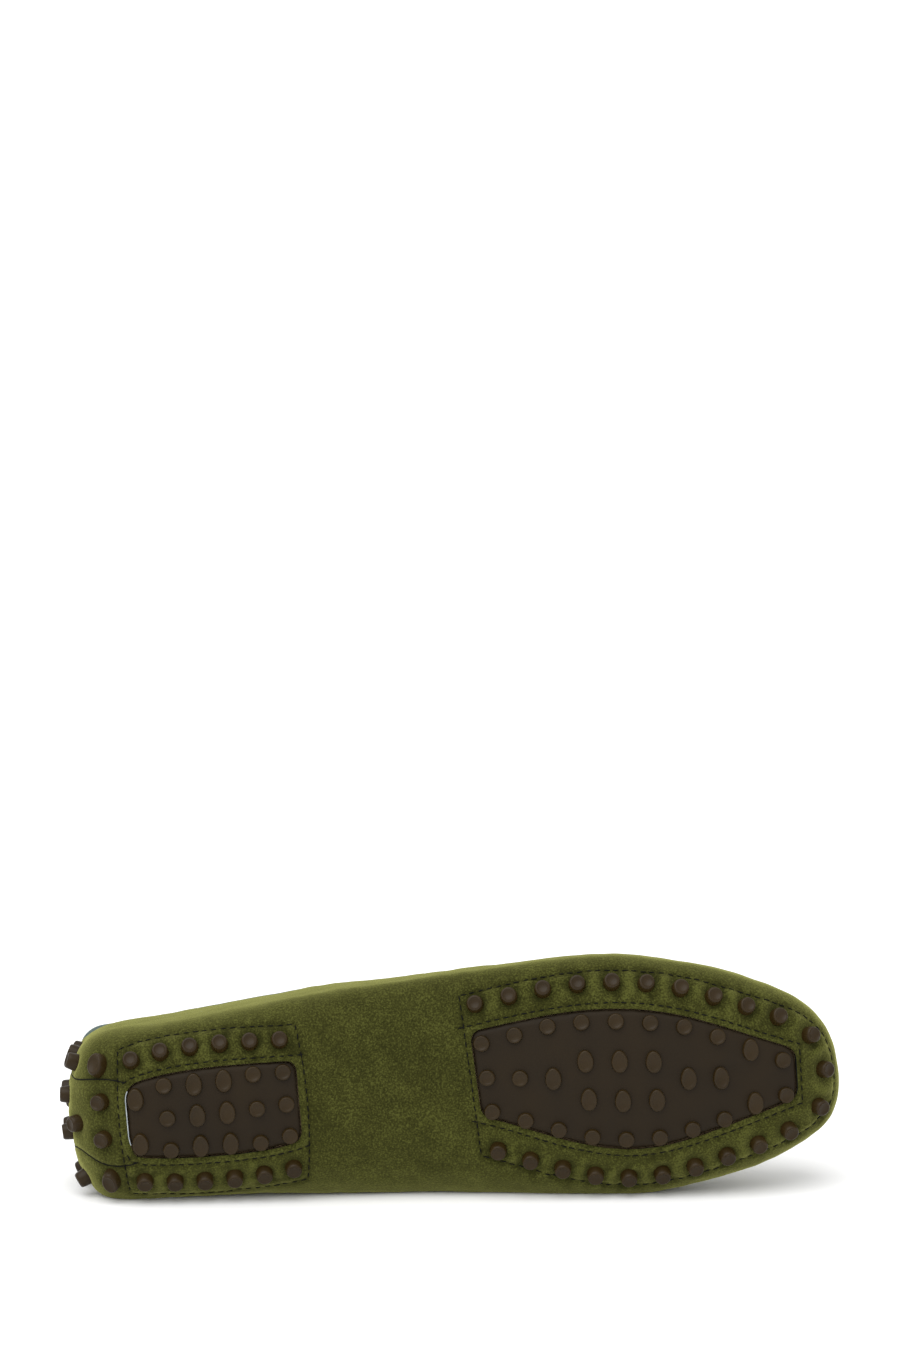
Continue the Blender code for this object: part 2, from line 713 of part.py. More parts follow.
def lay_down(pieces):
    """Parent all pieces to one empty that lays the shoe on the floor, centred on the origin."""
    down = Vector(DOWN)
    forward = Vector((1, 0, 0))
    forward = (forward - down * forward.dot(down)).normalized()
    turn = Matrix((forward, (-down).cross(forward), -down))
    points = [turn @ point for item in pieces for point in finished_points(item)]
    low = Vector(min(point[k] for point in points) for k in range(3))
    high = Vector(max(point[k] for point in points) for k in range(3))
    place = Vector((-(low.x + high.x) / 2, -(low.y + high.y) / 2, -low.z))
    rest = bpy.data.objects.new("lying_shoe", None)
    bpy.context.scene.collection.objects.link(rest)
    rest.matrix_world = Matrix.Translation(place) @ turn.to_4x4()
    for item in bpy.context.scene.objects:
        if item.type == "MESH":
            item.parent = rest


def main():
    for item in list(bpy.data.objects):
        bpy.data.objects.remove(item, do_unlink=True)
    tree = fine_skin()
    forefoot_pairs, toe_studs, heel_pairs = edge_stud_places()
    forefoot_edge = [place for pair in forefoot_pairs for place in pair] + toe_studs
    heel_edge = [place for pair in heel_pairs for place in pair]
    forefoot_pad = pad_stud_places(forefoot_pairs, FOREFOOT_PAD_ROWS)
    heel_pad = pad_stud_places(heel_pairs, HEEL_PAD_ROWS)
    pieces = [
        make_upper(forefoot_edge + heel_edge, tree),
        make_sole("forefoot_sole", FOREFOOT, forefoot_edge, forefoot_pad, tree),
        make_sole("heel_sole", HEEL, heel_edge, heel_pad, tree),
        make_heel_back(),
        make_insole(),
        *make_tassels(),
    ]
    lay_down(pieces)


main()
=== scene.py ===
# %% [markdown]
# # A suede driving loafer, seen from below
# The shoe lies on its inner side, so the camera looks at its sole. Suede wraps under the foot, two rubber
# pads show through windows in it, and rubber studs stand around the pads and up the heel.
# The frame holds the plain solids of the shoe. Each cell below dresses one of them, in the same place.

from collections import namedtuple
import math

import bpy
from mathutils import Matrix, Vector
from mathutils.bvhtree import BVHTree
from mathutils.geometry import delaunay_2d_cdt
from mathutils.kdtree import KDTree
import numpy as np


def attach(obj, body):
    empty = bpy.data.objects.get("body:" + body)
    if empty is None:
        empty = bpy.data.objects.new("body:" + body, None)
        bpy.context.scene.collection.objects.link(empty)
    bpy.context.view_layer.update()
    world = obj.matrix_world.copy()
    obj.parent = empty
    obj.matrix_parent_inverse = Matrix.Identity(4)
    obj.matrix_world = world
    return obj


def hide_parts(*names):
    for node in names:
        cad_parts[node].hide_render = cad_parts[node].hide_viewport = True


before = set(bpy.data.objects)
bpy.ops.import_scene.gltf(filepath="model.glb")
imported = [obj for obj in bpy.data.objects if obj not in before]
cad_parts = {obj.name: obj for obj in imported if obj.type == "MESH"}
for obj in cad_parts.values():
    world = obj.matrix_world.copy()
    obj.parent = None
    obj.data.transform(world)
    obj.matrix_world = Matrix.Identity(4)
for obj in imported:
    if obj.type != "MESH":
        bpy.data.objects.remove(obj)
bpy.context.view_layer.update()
MM = 0.001
print("nodes in the frame:", sorted(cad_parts))

# %% [markdown]
# ## The last
# A shoemaker builds a shoe over a last, a solid foot shape. Here the last is a loop of ribs: each rib starts
# on the middle line under the foot, swings out to the girth, the widest line, and comes back to the crest.
# A smooth curve through eleven sections gives every rib. The shoe is worked out standing, in millimetres:
# x from heel to toe, y towards the inner side of the foot, z up. All pieces below read this one shape.
# Where the soft wall lies on the floor it is pressed flat, so no point reaches further down than the floor.

# %% Sections of the last
LENGTH = 288.0
BALL_WIDTH = 90.0
SOLE_SQUARE = 2.5
WALL_SQUARE = 2.1
WALL_UPRIGHT = 2.2
Section = namedtuple(
    "Section",
    "name foot inner_x inner_y inner_z outer_x outer_y outer_z sole crest inner_tread outer_tread",
)
SECTIONS = (
    Section("heel_back", 0.119, -0.005, -0.01, 25, -0.005, -0.01, 25, 1.3, 88, 0.82, 0.82),
    Section("heel_corner", 0.127, 0.029, 0.378, 23, 0.035, -0.292, 23, 1.3, 88, 0.84, 0.80),
    Section("heel_seat", 0.163, 0.109, 0.411, 21, 0.109, -0.331, 21, 1.3, 90, 0.915, 0.88),
    Section("waist", 0.297, 0.297, 0.438, 23, 0.297, -0.403, 21, 3.6, 90, 0.80, 0.77),
    Section("shank", 0.465, 0.465, 0.468, 23, 0.455, -0.446, 20, 5.6, 76, 0.55, 0.79),
    Section("joint", 0.614, 0.624, 0.508, 20, 0.594, -0.484, 18, 2.4, 62, 0.80, 0.88),
    Section("ball", 0.722, 0.747, 0.522, 18, 0.708, -0.492, 18, 1.3, 55, 0.905, 0.905),
    Section("forepart", 0.792, 0.858, 0.464, 18, 0.826, -0.426, 18, 2.2, 51, 0.880, 0.890),
    Section("toe_side", 0.839, 0.940, 0.378, 20, 0.925, -0.304, 20, 4.0, 48.5, 0.88, 0.875),
    Section("toe_corner", 0.857, 0.990, 0.262, 22, 0.985, -0.154, 22, 5.2, 47.5, 0.915, 0.93),
    Section("toe_tip", 0.864, 1.005, 0.080, 24, 1.005, 0.080, 24, 5.6, 47, 0.945, 0.945),
)


def closed_spline(knots, period, values):
    """Return a smooth periodic curve through the values, one row of values for each knot."""
    count = len(knots)
    steps = np.diff(np.append(knots, period))
    slopes = (np.roll(values, -1, axis=0) - values) / steps[:, None]
    weights = np.zeros((count, count))
    for i in range(count):
        weights[i, i - 1] = steps[i - 1]
        weights[i, i] = 2 * (steps[i - 1] + steps[i])
        weights[i, (i + 1) % count] = steps[i]
    bends = np.linalg.solve(weights, 6 * (slopes - np.roll(slopes, 1, axis=0)))

    def curve(place):
        place = np.asarray(place, dtype=float) % period
        i = np.searchsorted(knots, place, side="right") - 1
        after = (i + 1) % count
        step = steps[i][..., None]
        far = (place - knots[i])[..., None] / step
        near = 1 - far
        bend = (near**3 - near) * bends[i] + (far**3 - far) * bends[after]
        return near * values[i] + far * values[after] + bend * step**2 / 6

    return curve


def last_curve():
    """Return the smooth loop of ribs around the last, and the length of its path."""
    sides = ([], [])
    for row in SECTIONS:
        girths = ((row.inner_x, row.inner_y, row.inner_z, row.inner_tread),
                  (row.outer_x, row.outer_y, row.outer_z, row.outer_tread))
        for side, (x, y, z, tread) in zip(sides, girths):
            side.append((row.foot * LENGTH, x * LENGTH, y * BALL_WIDTH, z, row.sole, row.crest, tread))
    inner, outer = (np.array(side) for side in sides)
    inner_steps = np.linalg.norm(np.diff(inner[:, 1:3], axis=0), axis=1)
    outer_steps = np.linalg.norm(np.diff(outer[:, 1:3], axis=0), axis=1)
    half = np.concatenate(([0], np.cumsum((inner_steps + outer_steps) / 2)))
    period = 2 * half[-1]
    knots = np.concatenate((half, period - half[-2:0:-1]))
    values = np.concatenate((inner, outer[-2:0:-1]))
    return closed_spline(knots, period, values), period


ribs_at, loop_length = last_curve()
LYING_YAW = math.radians(3.38)
LYING_ROLL = math.radians(2.67)
REST_REACH = 34.9
STEEPEST = 84
down = np.array((-math.sin(LYING_YAW) * math.cos(LYING_ROLL),
                 math.cos(LYING_YAW) * math.cos(LYING_ROLL), math.sin(LYING_ROLL)))


def surface(place, angle):
    """Return skin points at places and rib angles: -90 under the foot, 0 at the girth, 90 on top."""
    ribs = ribs_at(place)
    foot, girth_x, girth_y, girth_z, sole, crest = (ribs[..., k] for k in range(6))
    angle = np.asarray(angle, dtype=float)
    turn = np.radians(np.abs(angle))
    swing = np.maximum(np.cos(turn), 0)
    under = angle < 0
    reach = np.where(under, swing ** (2 / SOLE_SQUARE), swing ** (2 / WALL_SQUARE))
    rise = np.sin(turn)
    height = np.where(under, girth_z - (girth_z - sole) * rise,
                      girth_z + (crest - girth_z) * rise ** (2 / WALL_UPRIGHT))
    points = np.stack((foot + (girth_x - foot) * reach, girth_y * reach, height), axis=-1)
    sunk = np.maximum(points @ down - REST_REACH, 0)
    return points - sunk[..., None] * down


def skin(place, angle):
    """Return skin points and the outward directions there."""
    place = np.asarray(place, dtype=float)
    near = np.clip(angle, -STEEPEST, STEEPEST)
    along = surface(place + 1, near) - surface(place - 1, near)
    upward = surface(place, near + 1) - surface(place, near - 1)
    outward = np.cross(upward, along)
    outward /= np.linalg.norm(outward, axis=-1)[..., None]
    return surface(place, angle), outward


def even_places(columns):
    """Return evenly spaced places all around the loop, from the heel along the inner side."""
    return np.arange(columns) * loop_length / columns


print("the loop of ribs is %.0f mm long" % loop_length)

# %% [markdown]
# ## Finding points underfoot, and lying down
# Stitches and studs are laid out in plan, as on a paper pattern, so a ray from below finds the skin there.
# Every piece is modelled standing and laid on its inner side at the end by one matrix, the frame's own:
# a small yaw and roll bring the ball and the heel onto the floor.

# %% Rays from below, and the lying matrix
FINE_COLUMNS = 640
RAY_START = -50
LYING_PLACE = Vector((-0.14234878, -0.03961277, 0.0349))


def underfoot_tree():
    """Return a search tree of the skin under the girth."""
    places = even_places(FINE_COLUMNS)
    angles = np.arange(-90, 1.0, 2.0)
    grid = np.stack([surface(places, angle) for angle in angles])
    points = [Vector(point) for point in grid.reshape(-1, 3)]
    faces = []
    for i in range(len(angles) - 1):
        for j in range(FINE_COLUMNS):
            after = (j + 1) % FINE_COLUMNS
            low = i * FINE_COLUMNS
            faces.append((low + j, low + FINE_COLUMNS + j, low + FINE_COLUMNS + after, low + after))
    return BVHTree.FromPolygons(points, faces)


sole_tree = underfoot_tree()


def underfoot(x, y):
    """Return the skin point under the foot at a plan position, and its outward direction."""
    point, outward, _, _ = sole_tree.ray_cast(Vector((x, y, RAY_START)), Vector((0, 0, 1)))
    if outward.z > 0:
        outward = -outward
    return point, outward


def lying_matrix():
    """Return the matrix that lays the standing shoe on its inner side."""
    floorward = Vector(down)
    forward = Vector((1, 0, 0))
    forward = (forward - floorward * forward.dot(floorward)).normalized()
    turn = Matrix((forward, (-floorward).cross(forward), -floorward)).to_4x4()
    return Matrix.Translation(LYING_PLACE) @ turn


lying = lying_matrix()
toe_tip = lying @ (Vector(surface(loop_length / 2, 0.0)) * MM)

# %% [markdown]
# ## The paper pattern
# In plan, the outer line of stitches runs at a share of each rib. Studs, inner stitches and window edges keep
# their distances from that line. At tight corners an inset line would cross itself, so points that come too
# near the outer line are dropped.

# %% Plan lines of stitches, studs and windows
Field = namedtuple(
    "Field",
    "rear front slant window_rear window_front straight_from front_slant stud_rear stud_slant "
    "stud_front stud_front_slant inner_stud outer_stud inner_window outer_window inner_stitch outer_stitch",
)
FOREFOOT = Field(149.8, 2 * LENGTH, 0.075, 151.8, 272.3, 256.0, 0.0, 155.9, 0.095, 267.0, 0.04,
                 3.9, 4.3, 15.0, 13.6, 12.6, 11.5)
HEEL = Field(19.2, 85.9, 0.02, 20.4, 85.1, 2 * LENGTH, 0.02, 24.5, 0.045, 80.2, 0.045,
             6.2, 5.2, 15.4, 12.9, 12.9, 11.0)
CORNER_RADIUS = 4.5
SHARP_TURN = 0.35
OUTLINE_STEP = 0.4
ROUNDING = 0.001


def rightward(outline):
    """Return the direction to the right of a closed plan line at each of its points."""
    along = np.roll(outline, -1, axis=0) - np.roll(outline, 1, axis=0)
    right = np.stack((along[:, 1], -along[:, 0]), axis=1)
    return right / np.linalg.norm(right, axis=1)[:, None]


def tread_line(inset):
    """Return both sides of the plan line at an inset from the outer stitches, inner side first."""
    ribs = ribs_at(even_places(FINE_COLUMNS // 2))
    foot = np.stack((ribs[:, 0], np.zeros(len(ribs))), axis=1)
    line = foot + (ribs[:, 1:3] - foot) * ribs[:, 6:7]
    moved = line + inset * rightward(line)
    clear = np.linalg.norm(moved[:, None] - line[None], axis=2).min(axis=1) > inset - ROUNDING
    half = len(line) // 2
    return moved[: half + 1][clear[: half + 1]], moved[half:][clear[half:]]


def clipped(line, rear, front, slant):
    """Return the part of a plan line between two slanting lines across the foot, with its ends cut there."""
    kept = []
    for start, end in zip(line[:-1], line[1:]):
        start_x = start[0] - slant * start[1]
        end_x = end[0] - slant * end[1]
        for limit in (rear, front):
            if (start_x - limit) * (end_x - limit) < 0:
                kept.append(start + (end - start) * (limit - start_x) / (end_x - start_x))
        if rear <= end_x <= front:
            kept.append(end)
    return np.array(kept)


def stretches(field):
    """Return both sides of a field's outer stitches, inner side first."""
    return [clipped(line, field.rear, field.front, field.slant) for line in tread_line(0.0)]


def travelled(line):
    """Return the way along a line from its start to each of its points."""
    return np.concatenate(([0], np.cumsum(np.linalg.norm(np.diff(line, axis=0), axis=1))))


def evenly(line, count):
    """Return a number of points spread evenly along a line, with both of its ends."""
    line = np.array(line)
    way = travelled(line)
    stops = np.linspace(0, way[-1], count)
    return np.stack([np.interp(stops, way, line[:, k]) for k in range(line.shape[1])], axis=1)


def spaced(line, step):
    """Return points spread along a line, about a step apart, with both of its ends."""
    return evenly(line, max(2, int(round(travelled(line)[-1] / step)) + 1))


def around(outline):
    """Return a closed outline with its first point again at its end."""
    return np.vstack((outline, outline[:1]))


def filleted(outline, radius):
    """Return a closed plan outline with each sharp corner replaced by a soft curve."""
    closed = around(outline)
    before = outline - np.roll(outline, 1, axis=0)
    after = np.roll(outline, -1, axis=0) - outline
    turn = np.arctan2(after[:, 1], after[:, 0]) - np.arctan2(before[:, 1], before[:, 0])
    turn = np.abs((turn + np.pi) % (2 * np.pi) - np.pi)
    lengths = travelled(closed)
    total = lengths[-1]

    def at(stop):
        stop = np.asarray(stop) % total
        return np.stack([np.interp(stop, lengths, closed[:, k]) for k in range(2)], axis=-1)

    stops = np.arange(0, total, OUTLINE_STEP)
    points = at(stops)
    for corner in lengths[:-1][turn > SHARP_TURN]:
        way = (stops - corner + total / 2) % total - total / 2
        near = np.abs(way) < radius
        share = (way[near] / radius + 1)[:, None] / 2
        start, middle, end = at(corner - radius), at(corner), at(corner + radius)
        points[near] = (1 - share) ** 2 * start + 2 * share * (1 - share) * middle + share**2 * end
    return points


def straightened(line, start):
    """Return a plan line from heel to toe that runs on straight from a start along the foot."""
    kept = line[line[:, 0] < start]
    if len(kept) == len(line):
        return line
    way = (kept[-1] - kept[-3]) / (kept[-1] - kept[-3])[0]
    return np.vstack((kept, kept[-1] + way * (LENGTH - start)))


def field_sides(field, inner_inset, outer_inset, rear, front):
    """Return both sides of an inset line from heel to toe, straight near the front and cut at both ends."""
    sides = []
    for line in (tread_line(inner_inset)[0], tread_line(outer_inset)[1][::-1]):
        line = clipped(straightened(line, field.straight_from), -LENGTH, front, field.front_slant)
        sides.append(clipped(line, rear, 2 * LENGTH, field.slant))
    return sides


def window_outline(field):
    """Return the closed plan outline of the window that a pad fills, with round corners."""
    inner, outer = field_sides(field, field.inner_window, field.outer_window, field.window_rear,
                               field.window_front)
    return filleted(np.concatenate((inner, outer[::-1])), CORNER_RADIUS)


def inside(points, outline):
    """Return which plan points lie inside a closed outline."""
    x, y = points[:, 0], points[:, 1]
    result = np.zeros(len(points), dtype=bool)
    for start, end in zip(outline, np.roll(outline, -1, axis=0)):
        run, rise = end - start
        crossing = (start[1] > y) != (end[1] > y)
        if crossing.any():
            result ^= crossing & (x < start[0] + run * (y - start[1]) / (rise + 1e-12))
    return result


windows = {"forefoot": window_outline(FOREFOOT), "heel": window_outline(HEEL)}
for name, outline in windows.items():
    size = outline.max(axis=0) - outline.min(axis=0)
    print("%s window: %.0f by %.0f mm" % (name, size[0], size[1]))

# %% [markdown]
# ## Where the studs stand
# Studs beside a pad are spread evenly along each side, and three more go around the toe. Studs on a pad lie
# on straight lines across the foot between two of those, some of them long. The heel's own studs climb its
# back.

# %% Places of all studs
Row = namedtuple("Row", "inner_inset outer_inset edge_long middle_count middle_long")
TOE_STUDS = 3
FOREFOOT_PAD_ROWS = (
    Row(15.2, 14.6, False, 1, False),
    Row(15.5, 14.3, False, 1, False),
    Row(15.4, 13.5, False, 1, True),
    Row(15.1, 13.7, False, 2, True),
    Row(15.1, 14.1, False, 2, True),
    Row(14.7, 14.2, False, 2, True),
    Row(14.7, 13.9, False, 1, True),
    Row(14.4, 14.7, False, 1, True),
    Row(16.1, 16.0, True, 0, False),
    Row(13.9, 16.2, False, 0, False),
)
HEEL_PAD_ROWS = (
    Row(14.7, 14.1, True, 0, False),
    Row(12.5, 11.9, False, 1, False),
    Row(13.8, 13.3, True, 1, True),
    Row(13.8, 13.3, True, 1, True),
    Row(12.5, 11.8, False, 1, False),
    Row(12.7, 11.8, False, 1, False),
)
BackRow = namedtuple("BackRow", "middle_angle middle_places side_angle side_places side_stretch")
BACK_ROWS = (
    BackRow(-54, (-8.8, 8.8), -42, (-27.5, 26.5), 1.4),
    BackRow(-27, (1,), -27, (), 1.0),
    BackRow(-2.5, (-7.2, 4.3), -8, (-20.6, 19.2), 1.0),
    BackRow(9, (-7.2, 4.3), 9, (-21, 18.3), 1.0),
    BackRow(19, (-1.5,), 20, (-20.8,), 1.0),
)
BACK_MIDDLE = 4.1


def stud_lines(field):
    """Return the plan lines of the studs beside a pad, inner side first, and the one around the toe."""
    inner, outer = tread_line(field.inner_stud)[0], tread_line(field.outer_stud)[1]
    sides = []
    for line in (inner, outer[::-1]):
        line = clipped(line, -LENGTH, field.stud_front, field.stud_front_slant)
        sides.append(clipped(line, field.stud_rear, 2 * LENGTH, field.stud_slant))
    toe = [clipped(line, field.stud_front, 2 * LENGTH, field.stud_front_slant) for line in (inner, outer)]
    return sides[0], sides[1], np.array([point for line in toe for point in line])


def stud_pairs(field, rows):
    """Return the places of the studs at both ends of each row across a pad, inner side and outer side."""
    inner, outer, _ = stud_lines(field)
    return evenly(inner, len(rows)), evenly(outer, len(rows))


def pad_stud_places(pairs, rows):
    """Return the plan places of the studs on a pad, each with whether it is long."""
    places = []
    for (start, end), row in zip(pairs, rows):
        across = (end - start) / np.linalg.norm(end - start)
        start = start + across * row.inner_inset
        end = end - across * row.outer_inset
        places += [(start, row.edge_long), (end, row.edge_long)]
        for k in range(row.middle_count):
            share = (k + 1) / (row.middle_count + 1)
            places.append((start + (end - start) * share, row.middle_long))
    return places


forefoot_inner, forefoot_outer = stud_pairs(FOREFOOT, FOREFOOT_PAD_ROWS)
toe_studs = evenly(stud_lines(FOREFOOT)[2], TOE_STUDS + 2)[1:-1]
forefoot_ring = np.concatenate((forefoot_inner, toe_studs, forefoot_outer[::-1]))
heel_inner, heel_outer = stud_pairs(HEEL, HEEL_PAD_ROWS)
edge_rows = (forefoot_ring, heel_inner, heel_outer)
edge_studs = np.concatenate(edge_rows)
pad_studs = {"forefoot": pad_stud_places(zip(forefoot_inner, forefoot_outer), FOREFOOT_PAD_ROWS),
             "heel": pad_stud_places(zip(heel_inner, heel_outer), HEEL_PAD_ROWS)}
back_studs = []
for row in BACK_ROWS:
    for place in row.middle_places:
        back_studs.append((*skin(place + BACK_MIDDLE, row.middle_angle), 1.0))
    for place in row.side_places:
        back_studs.append((*skin(place + BACK_MIDDLE, row.side_angle), row.side_stretch))
print("studs beside the pads:", len(edge_studs), "up the heel:", len(back_studs))

# %% [markdown]
# ## Shader maths as expressions
# A material is a network of nodes. Written out link by link it is long, so one small class wraps a socket:
# sums and products of wrapped sockets add Math nodes, and one method adds any other node.

# %% A wrapped socket
class Wire:
    """One output socket of a material. Arithmetic on wires adds Math nodes."""

    def __init__(self, tree, socket):
        self.tree = tree
        self.socket = socket

    def node(self, kind, settings, sockets, output=0):
        """Add a node, set it up, fill or link its sockets, and wrap one of its outputs."""
        node = self.tree.nodes.new(kind)
        for name, value in settings.items():
            if name == "stops":
                ramp = node.color_ramp
                while len(ramp.elements) < len(value):
                    ramp.elements.new(0.5)
                for element, (position, colour) in zip(ramp.elements, value):
                    element.position = position
                    element.color = colour
            else:
                setattr(node, name, value)
        for name, value in sockets.items():
            if isinstance(value, Wire):
                self.tree.links.new(value.socket, node.inputs[name])
            else:
                node.inputs[name].default_value = value
        return Wire(self.tree, node.outputs[output])

    def maths(self, operation, first, second):
        """Add a Math node of two values."""
        return self.node("ShaderNodeMath", {"operation": operation}, {0: first, 1: second})

    def __add__(self, other):
        return self.maths("ADD", self, other)

    def __radd__(self, other):
        return self.maths("ADD", other, self)

    def __sub__(self, other):
        return self.maths("SUBTRACT", self, other)

    def __rsub__(self, other):
        return self.maths("SUBTRACT", other, self)

    def __mul__(self, other):
        return self.maths("MULTIPLY", self, other)

    def __rmul__(self, other):
        return self.maths("MULTIPLY", other, self)


def new_finish(name):
    """Add a material and return it with its shader and a wire of Object coordinates."""
    material = bpy.data.materials.new(name)
    material.use_nodes = True
    tree = material.node_tree
    shader = tree.nodes["Principled BSDF"]
    places = tree.nodes.new("ShaderNodeTexCoord")
    return material, shader, Wire(tree, places.outputs["Object"])


def noise(where, scale, detail=2.0, roughness=0.5):
    """Return smooth noise from 0 to 1, with a scale in features per metre."""
    return where.node("ShaderNodeTexNoise", {}, {"Vector": where, "Scale": scale, "Detail": detail,
                                                 "Roughness": roughness})


def ramp(value, *stops):
    """Return a colour ramp of a value: pairs of position and colour."""
    stops = [(at, (*colour, 1)) for at, colour in stops]
    return value.node("ShaderNodeValToRGB", {"stops": stops}, {0: value})


def attribute(where, name):
    """Return a number that a mesh stores at its points."""
    return where.node("ShaderNodeAttribute", {"attribute_name": name}, {}, 2)


def link(shader, socket, wire):
    """Link a wire to a socket of the shader."""
    wire.tree.links.new(wire.socket, shader.inputs[socket])


def bumped(shader, height, strength, distance):
    """Feed a bump of a height to the shader's normal."""
    link(shader, "Normal", height.node("ShaderNodeBump", {}, {"Strength": strength, "Distance": distance,
                                                              "Height": height}))


print("shader helpers are ready")

# %% [markdown]
# ## Suede
# Suede is brushed flesh-side leather: thousands of short fibres that catch the light in patches, with no
# gloss. Three sizes of noise give brushed patches, mottling and nap. The mesh also stores a number called
# nap, which is painted light and shade: high on the puckers and bars, a painted highlight, and low in the
# hollows around studs and stitches, a painted shade, with a few random patches of nap.

# %% Finish: olive suede, its cut edge and the lining
SUEDE_DARK = (0.0112, 0.0116, 0.0018)
SUEDE_MIDDLE = (0.0252, 0.0258, 0.0046)
SUEDE_LIGHT = (0.063, 0.067, 0.014)
LINING_DARK = (0.055, 0.085, 0.075)
LINING_LIGHT = (0.1, 0.14, 0.12)


def suede_finish(name, attribute_name=None):
    """Brushed suede, lighter where the number that its mesh stores is high: painted light and shade of the
    relief.
    """
    material, shader, where = new_finish(name)
    patches = noise(where, scale=26, detail=2)
    mottle = noise(where, scale=190, detail=3)
    nap = noise(where, scale=1500, detail=3, roughness=0.6)
    painted_shade_and_nap = attribute(where, attribute_name) if attribute_name else nap
    # The stored number paints light on bars and puckers and shade in the hollows around studs and stitches.
    tone = patches * 0.16 + mottle * 0.4 + nap * 1.9 + painted_shade_and_nap * 0.62 - 1.04
    link(shader, "Base Color", ramp(tone, (0.18, SUEDE_DARK), (0.5, SUEDE_MIDDLE), (0.86, SUEDE_LIGHT)))
    shader.inputs["Roughness"].default_value = 0.95
    shader.inputs["Specular IOR Level"].default_value = 0.05
    shader.inputs["Sheen Weight"].default_value = 0.66
    shader.inputs["Sheen Roughness"].default_value = 0.5
    shader.inputs["Sheen Tint"].default_value = (0.7, 0.71, 0.22, 1)
    bumped(shader, nap * 0.7 + mottle * 0.5, strength=0.55, distance=0.0005)
    return material


def edge_finish(name, dark, light):
    """Cut edge of the suede, with fibres of two shades."""
    material, shader, where = new_finish(name)
    link(shader, "Base Color", ramp(noise(where, scale=300, detail=2), (0.3, dark), (0.7, light)))
    shader.inputs["Roughness"].default_value = 0.6
    return material


def lining_finish():
    """Thin smooth leather inside the shoe, with a fine grain."""
    material, shader, where = new_finish("lining_leather")
    grain = noise(where, scale=900, detail=4, roughness=0.65)
    shade = noise(where, scale=40, detail=2)
    link(shader, "Base Color", ramp(shade * 0.6 + grain * 0.4, (0.3, LINING_DARK), (0.7, LINING_LIGHT)))
    shader.inputs["Roughness"].default_value = 0.55
    bumped(shader, grain, strength=0.2, distance=0.0003)
    return material


def leather_finish(name, dark, light, roughness):
    """Smooth leather with pores and soft changes of shade, for the footbed and the binding."""
    material, shader, where = new_finish(name)
    pores = where.node("ShaderNodeTexVoronoi", {"feature": "DISTANCE_TO_EDGE"},
                       {"Vector": where, "Scale": 900})
    shade = noise(where, scale=35, detail=3)
    link(shader, "Base Color", ramp(shade * 0.8 + pores * 0.5, (0.3, dark), (0.7, light)))
    link(shader, "Roughness", shade * 0.2 + (roughness - 0.1))
    bumped(shader, pores, strength=0.25, distance=0.0002)
    return material


# The stored number nap carries painted light and shade of the relief.
suede = suede_finish("olive_suede", attribute_name="nap")
lace_suede = suede_finish("lace_suede")
# The suede's cut edge is coloured nearly black.
cut_edge = edge_finish("dark_cut_edge", (0.010, 0.010, 0.007), (0.016, 0.016, 0.011))
# A pale raw edge whose bright colour is partly a painted highlight.
raw_edge_highlight_finish = edge_finish("pale_raw_edge_and_highlight", (0.25, 0.28, 0.30), (0.42, 0.45, 0.47))
lining = lining_finish()
footbed_leather = leather_finish("footbed_leather", (0.22, 0.14, 0.075), (0.36, 0.25, 0.14), roughness=0.6)
binding_leather = leather_finish("binding_leather", (0.045, 0.075, 0.07), (0.10, 0.14, 0.125), roughness=0.6)
print("suede, its cut edge, lining, footbed and binding are ready")

# %% [markdown]
# ## Rubber and thread
# The pads and studs are one moulding in dark-brown rubber: satin, with a faint bloom and tiny specks.
# The studs' copy of it is painted lighter than the pad's, a painted light where light falls on them.
# The thread is black and nearly matt.

# %% Finish: brown rubber and black thread
def rubber_finish(name, dark, light, roughness, gloss):
    """Moulded rubber with a bloom of two shades."""
    material, shader, where = new_finish(name)
    bloom = noise(where, scale=55, detail=3)
    specks = noise(where, scale=2200, detail=2)
    link(shader, "Base Color", ramp(bloom * 0.7 + specks * 0.3, (0.3, dark), (0.7, light)))
    link(shader, "Roughness", bloom * 0.16 + specks * 0.1 + (roughness - 0.13))
    shader.inputs["Specular IOR Level"].default_value = gloss
    bumped(shader, specks * 0.5 + bloom * 0.5, strength=0.12, distance=0.0002)
    return material


def thread_finish():
    """Black thread with fine fibres."""
    material, shader, where = new_finish("black_thread")
    fibres = noise(where, scale=3000, detail=2)
    link(shader, "Base Color", ramp(fibres, (0.3, (0.003, 0.003, 0.003)), (0.7, (0.009, 0.009, 0.008))))
    shader.inputs["Roughness"].default_value = 0.7
    shader.inputs["Specular IOR Level"].default_value = 0.06
    bumped(shader, fibres, strength=0.3, distance=0.0001)
    return material


pad_rubber = rubber_finish("brown_rubber_pad", (0.012, 0.007, 0.002), (0.017, 0.010, 0.003),
                           roughness=0.6, gloss=0.16)
# Painted light: the studs' copy of the rubber is lighter than the pad's, standing in for light on them.
stud_rubber_painted_lighter = rubber_finish("brown_rubber_studs_painted_lighter", (0.018, 0.010, 0.0016), (0.027, 0.015, 0.003),
                            roughness=0.42, gloss=0.19)
thread = thread_finish()
print("rubber and thread are ready")

# %% [markdown]
# ## Working helpers
# Operators act on what is selected, so each step starts by clearing the selection and making one object
# active. A piece is finished by laying it down, attaching it to the root body and hiding the frame's nodes
# that it stands for.

# %% Selecting, joining, laying down
def pick(*items):
    """Select only these objects and make the first one active."""
    bpy.ops.object.select_all(action="DESELECT")
    for item in items:
        item.select_set(True)
    bpy.context.view_layer.objects.active = items[0]


def linked(name, data):
    """Add an object with this data to the scene."""
    item = bpy.data.objects.new(name, data)
    bpy.context.scene.collection.objects.link(item)
    return item


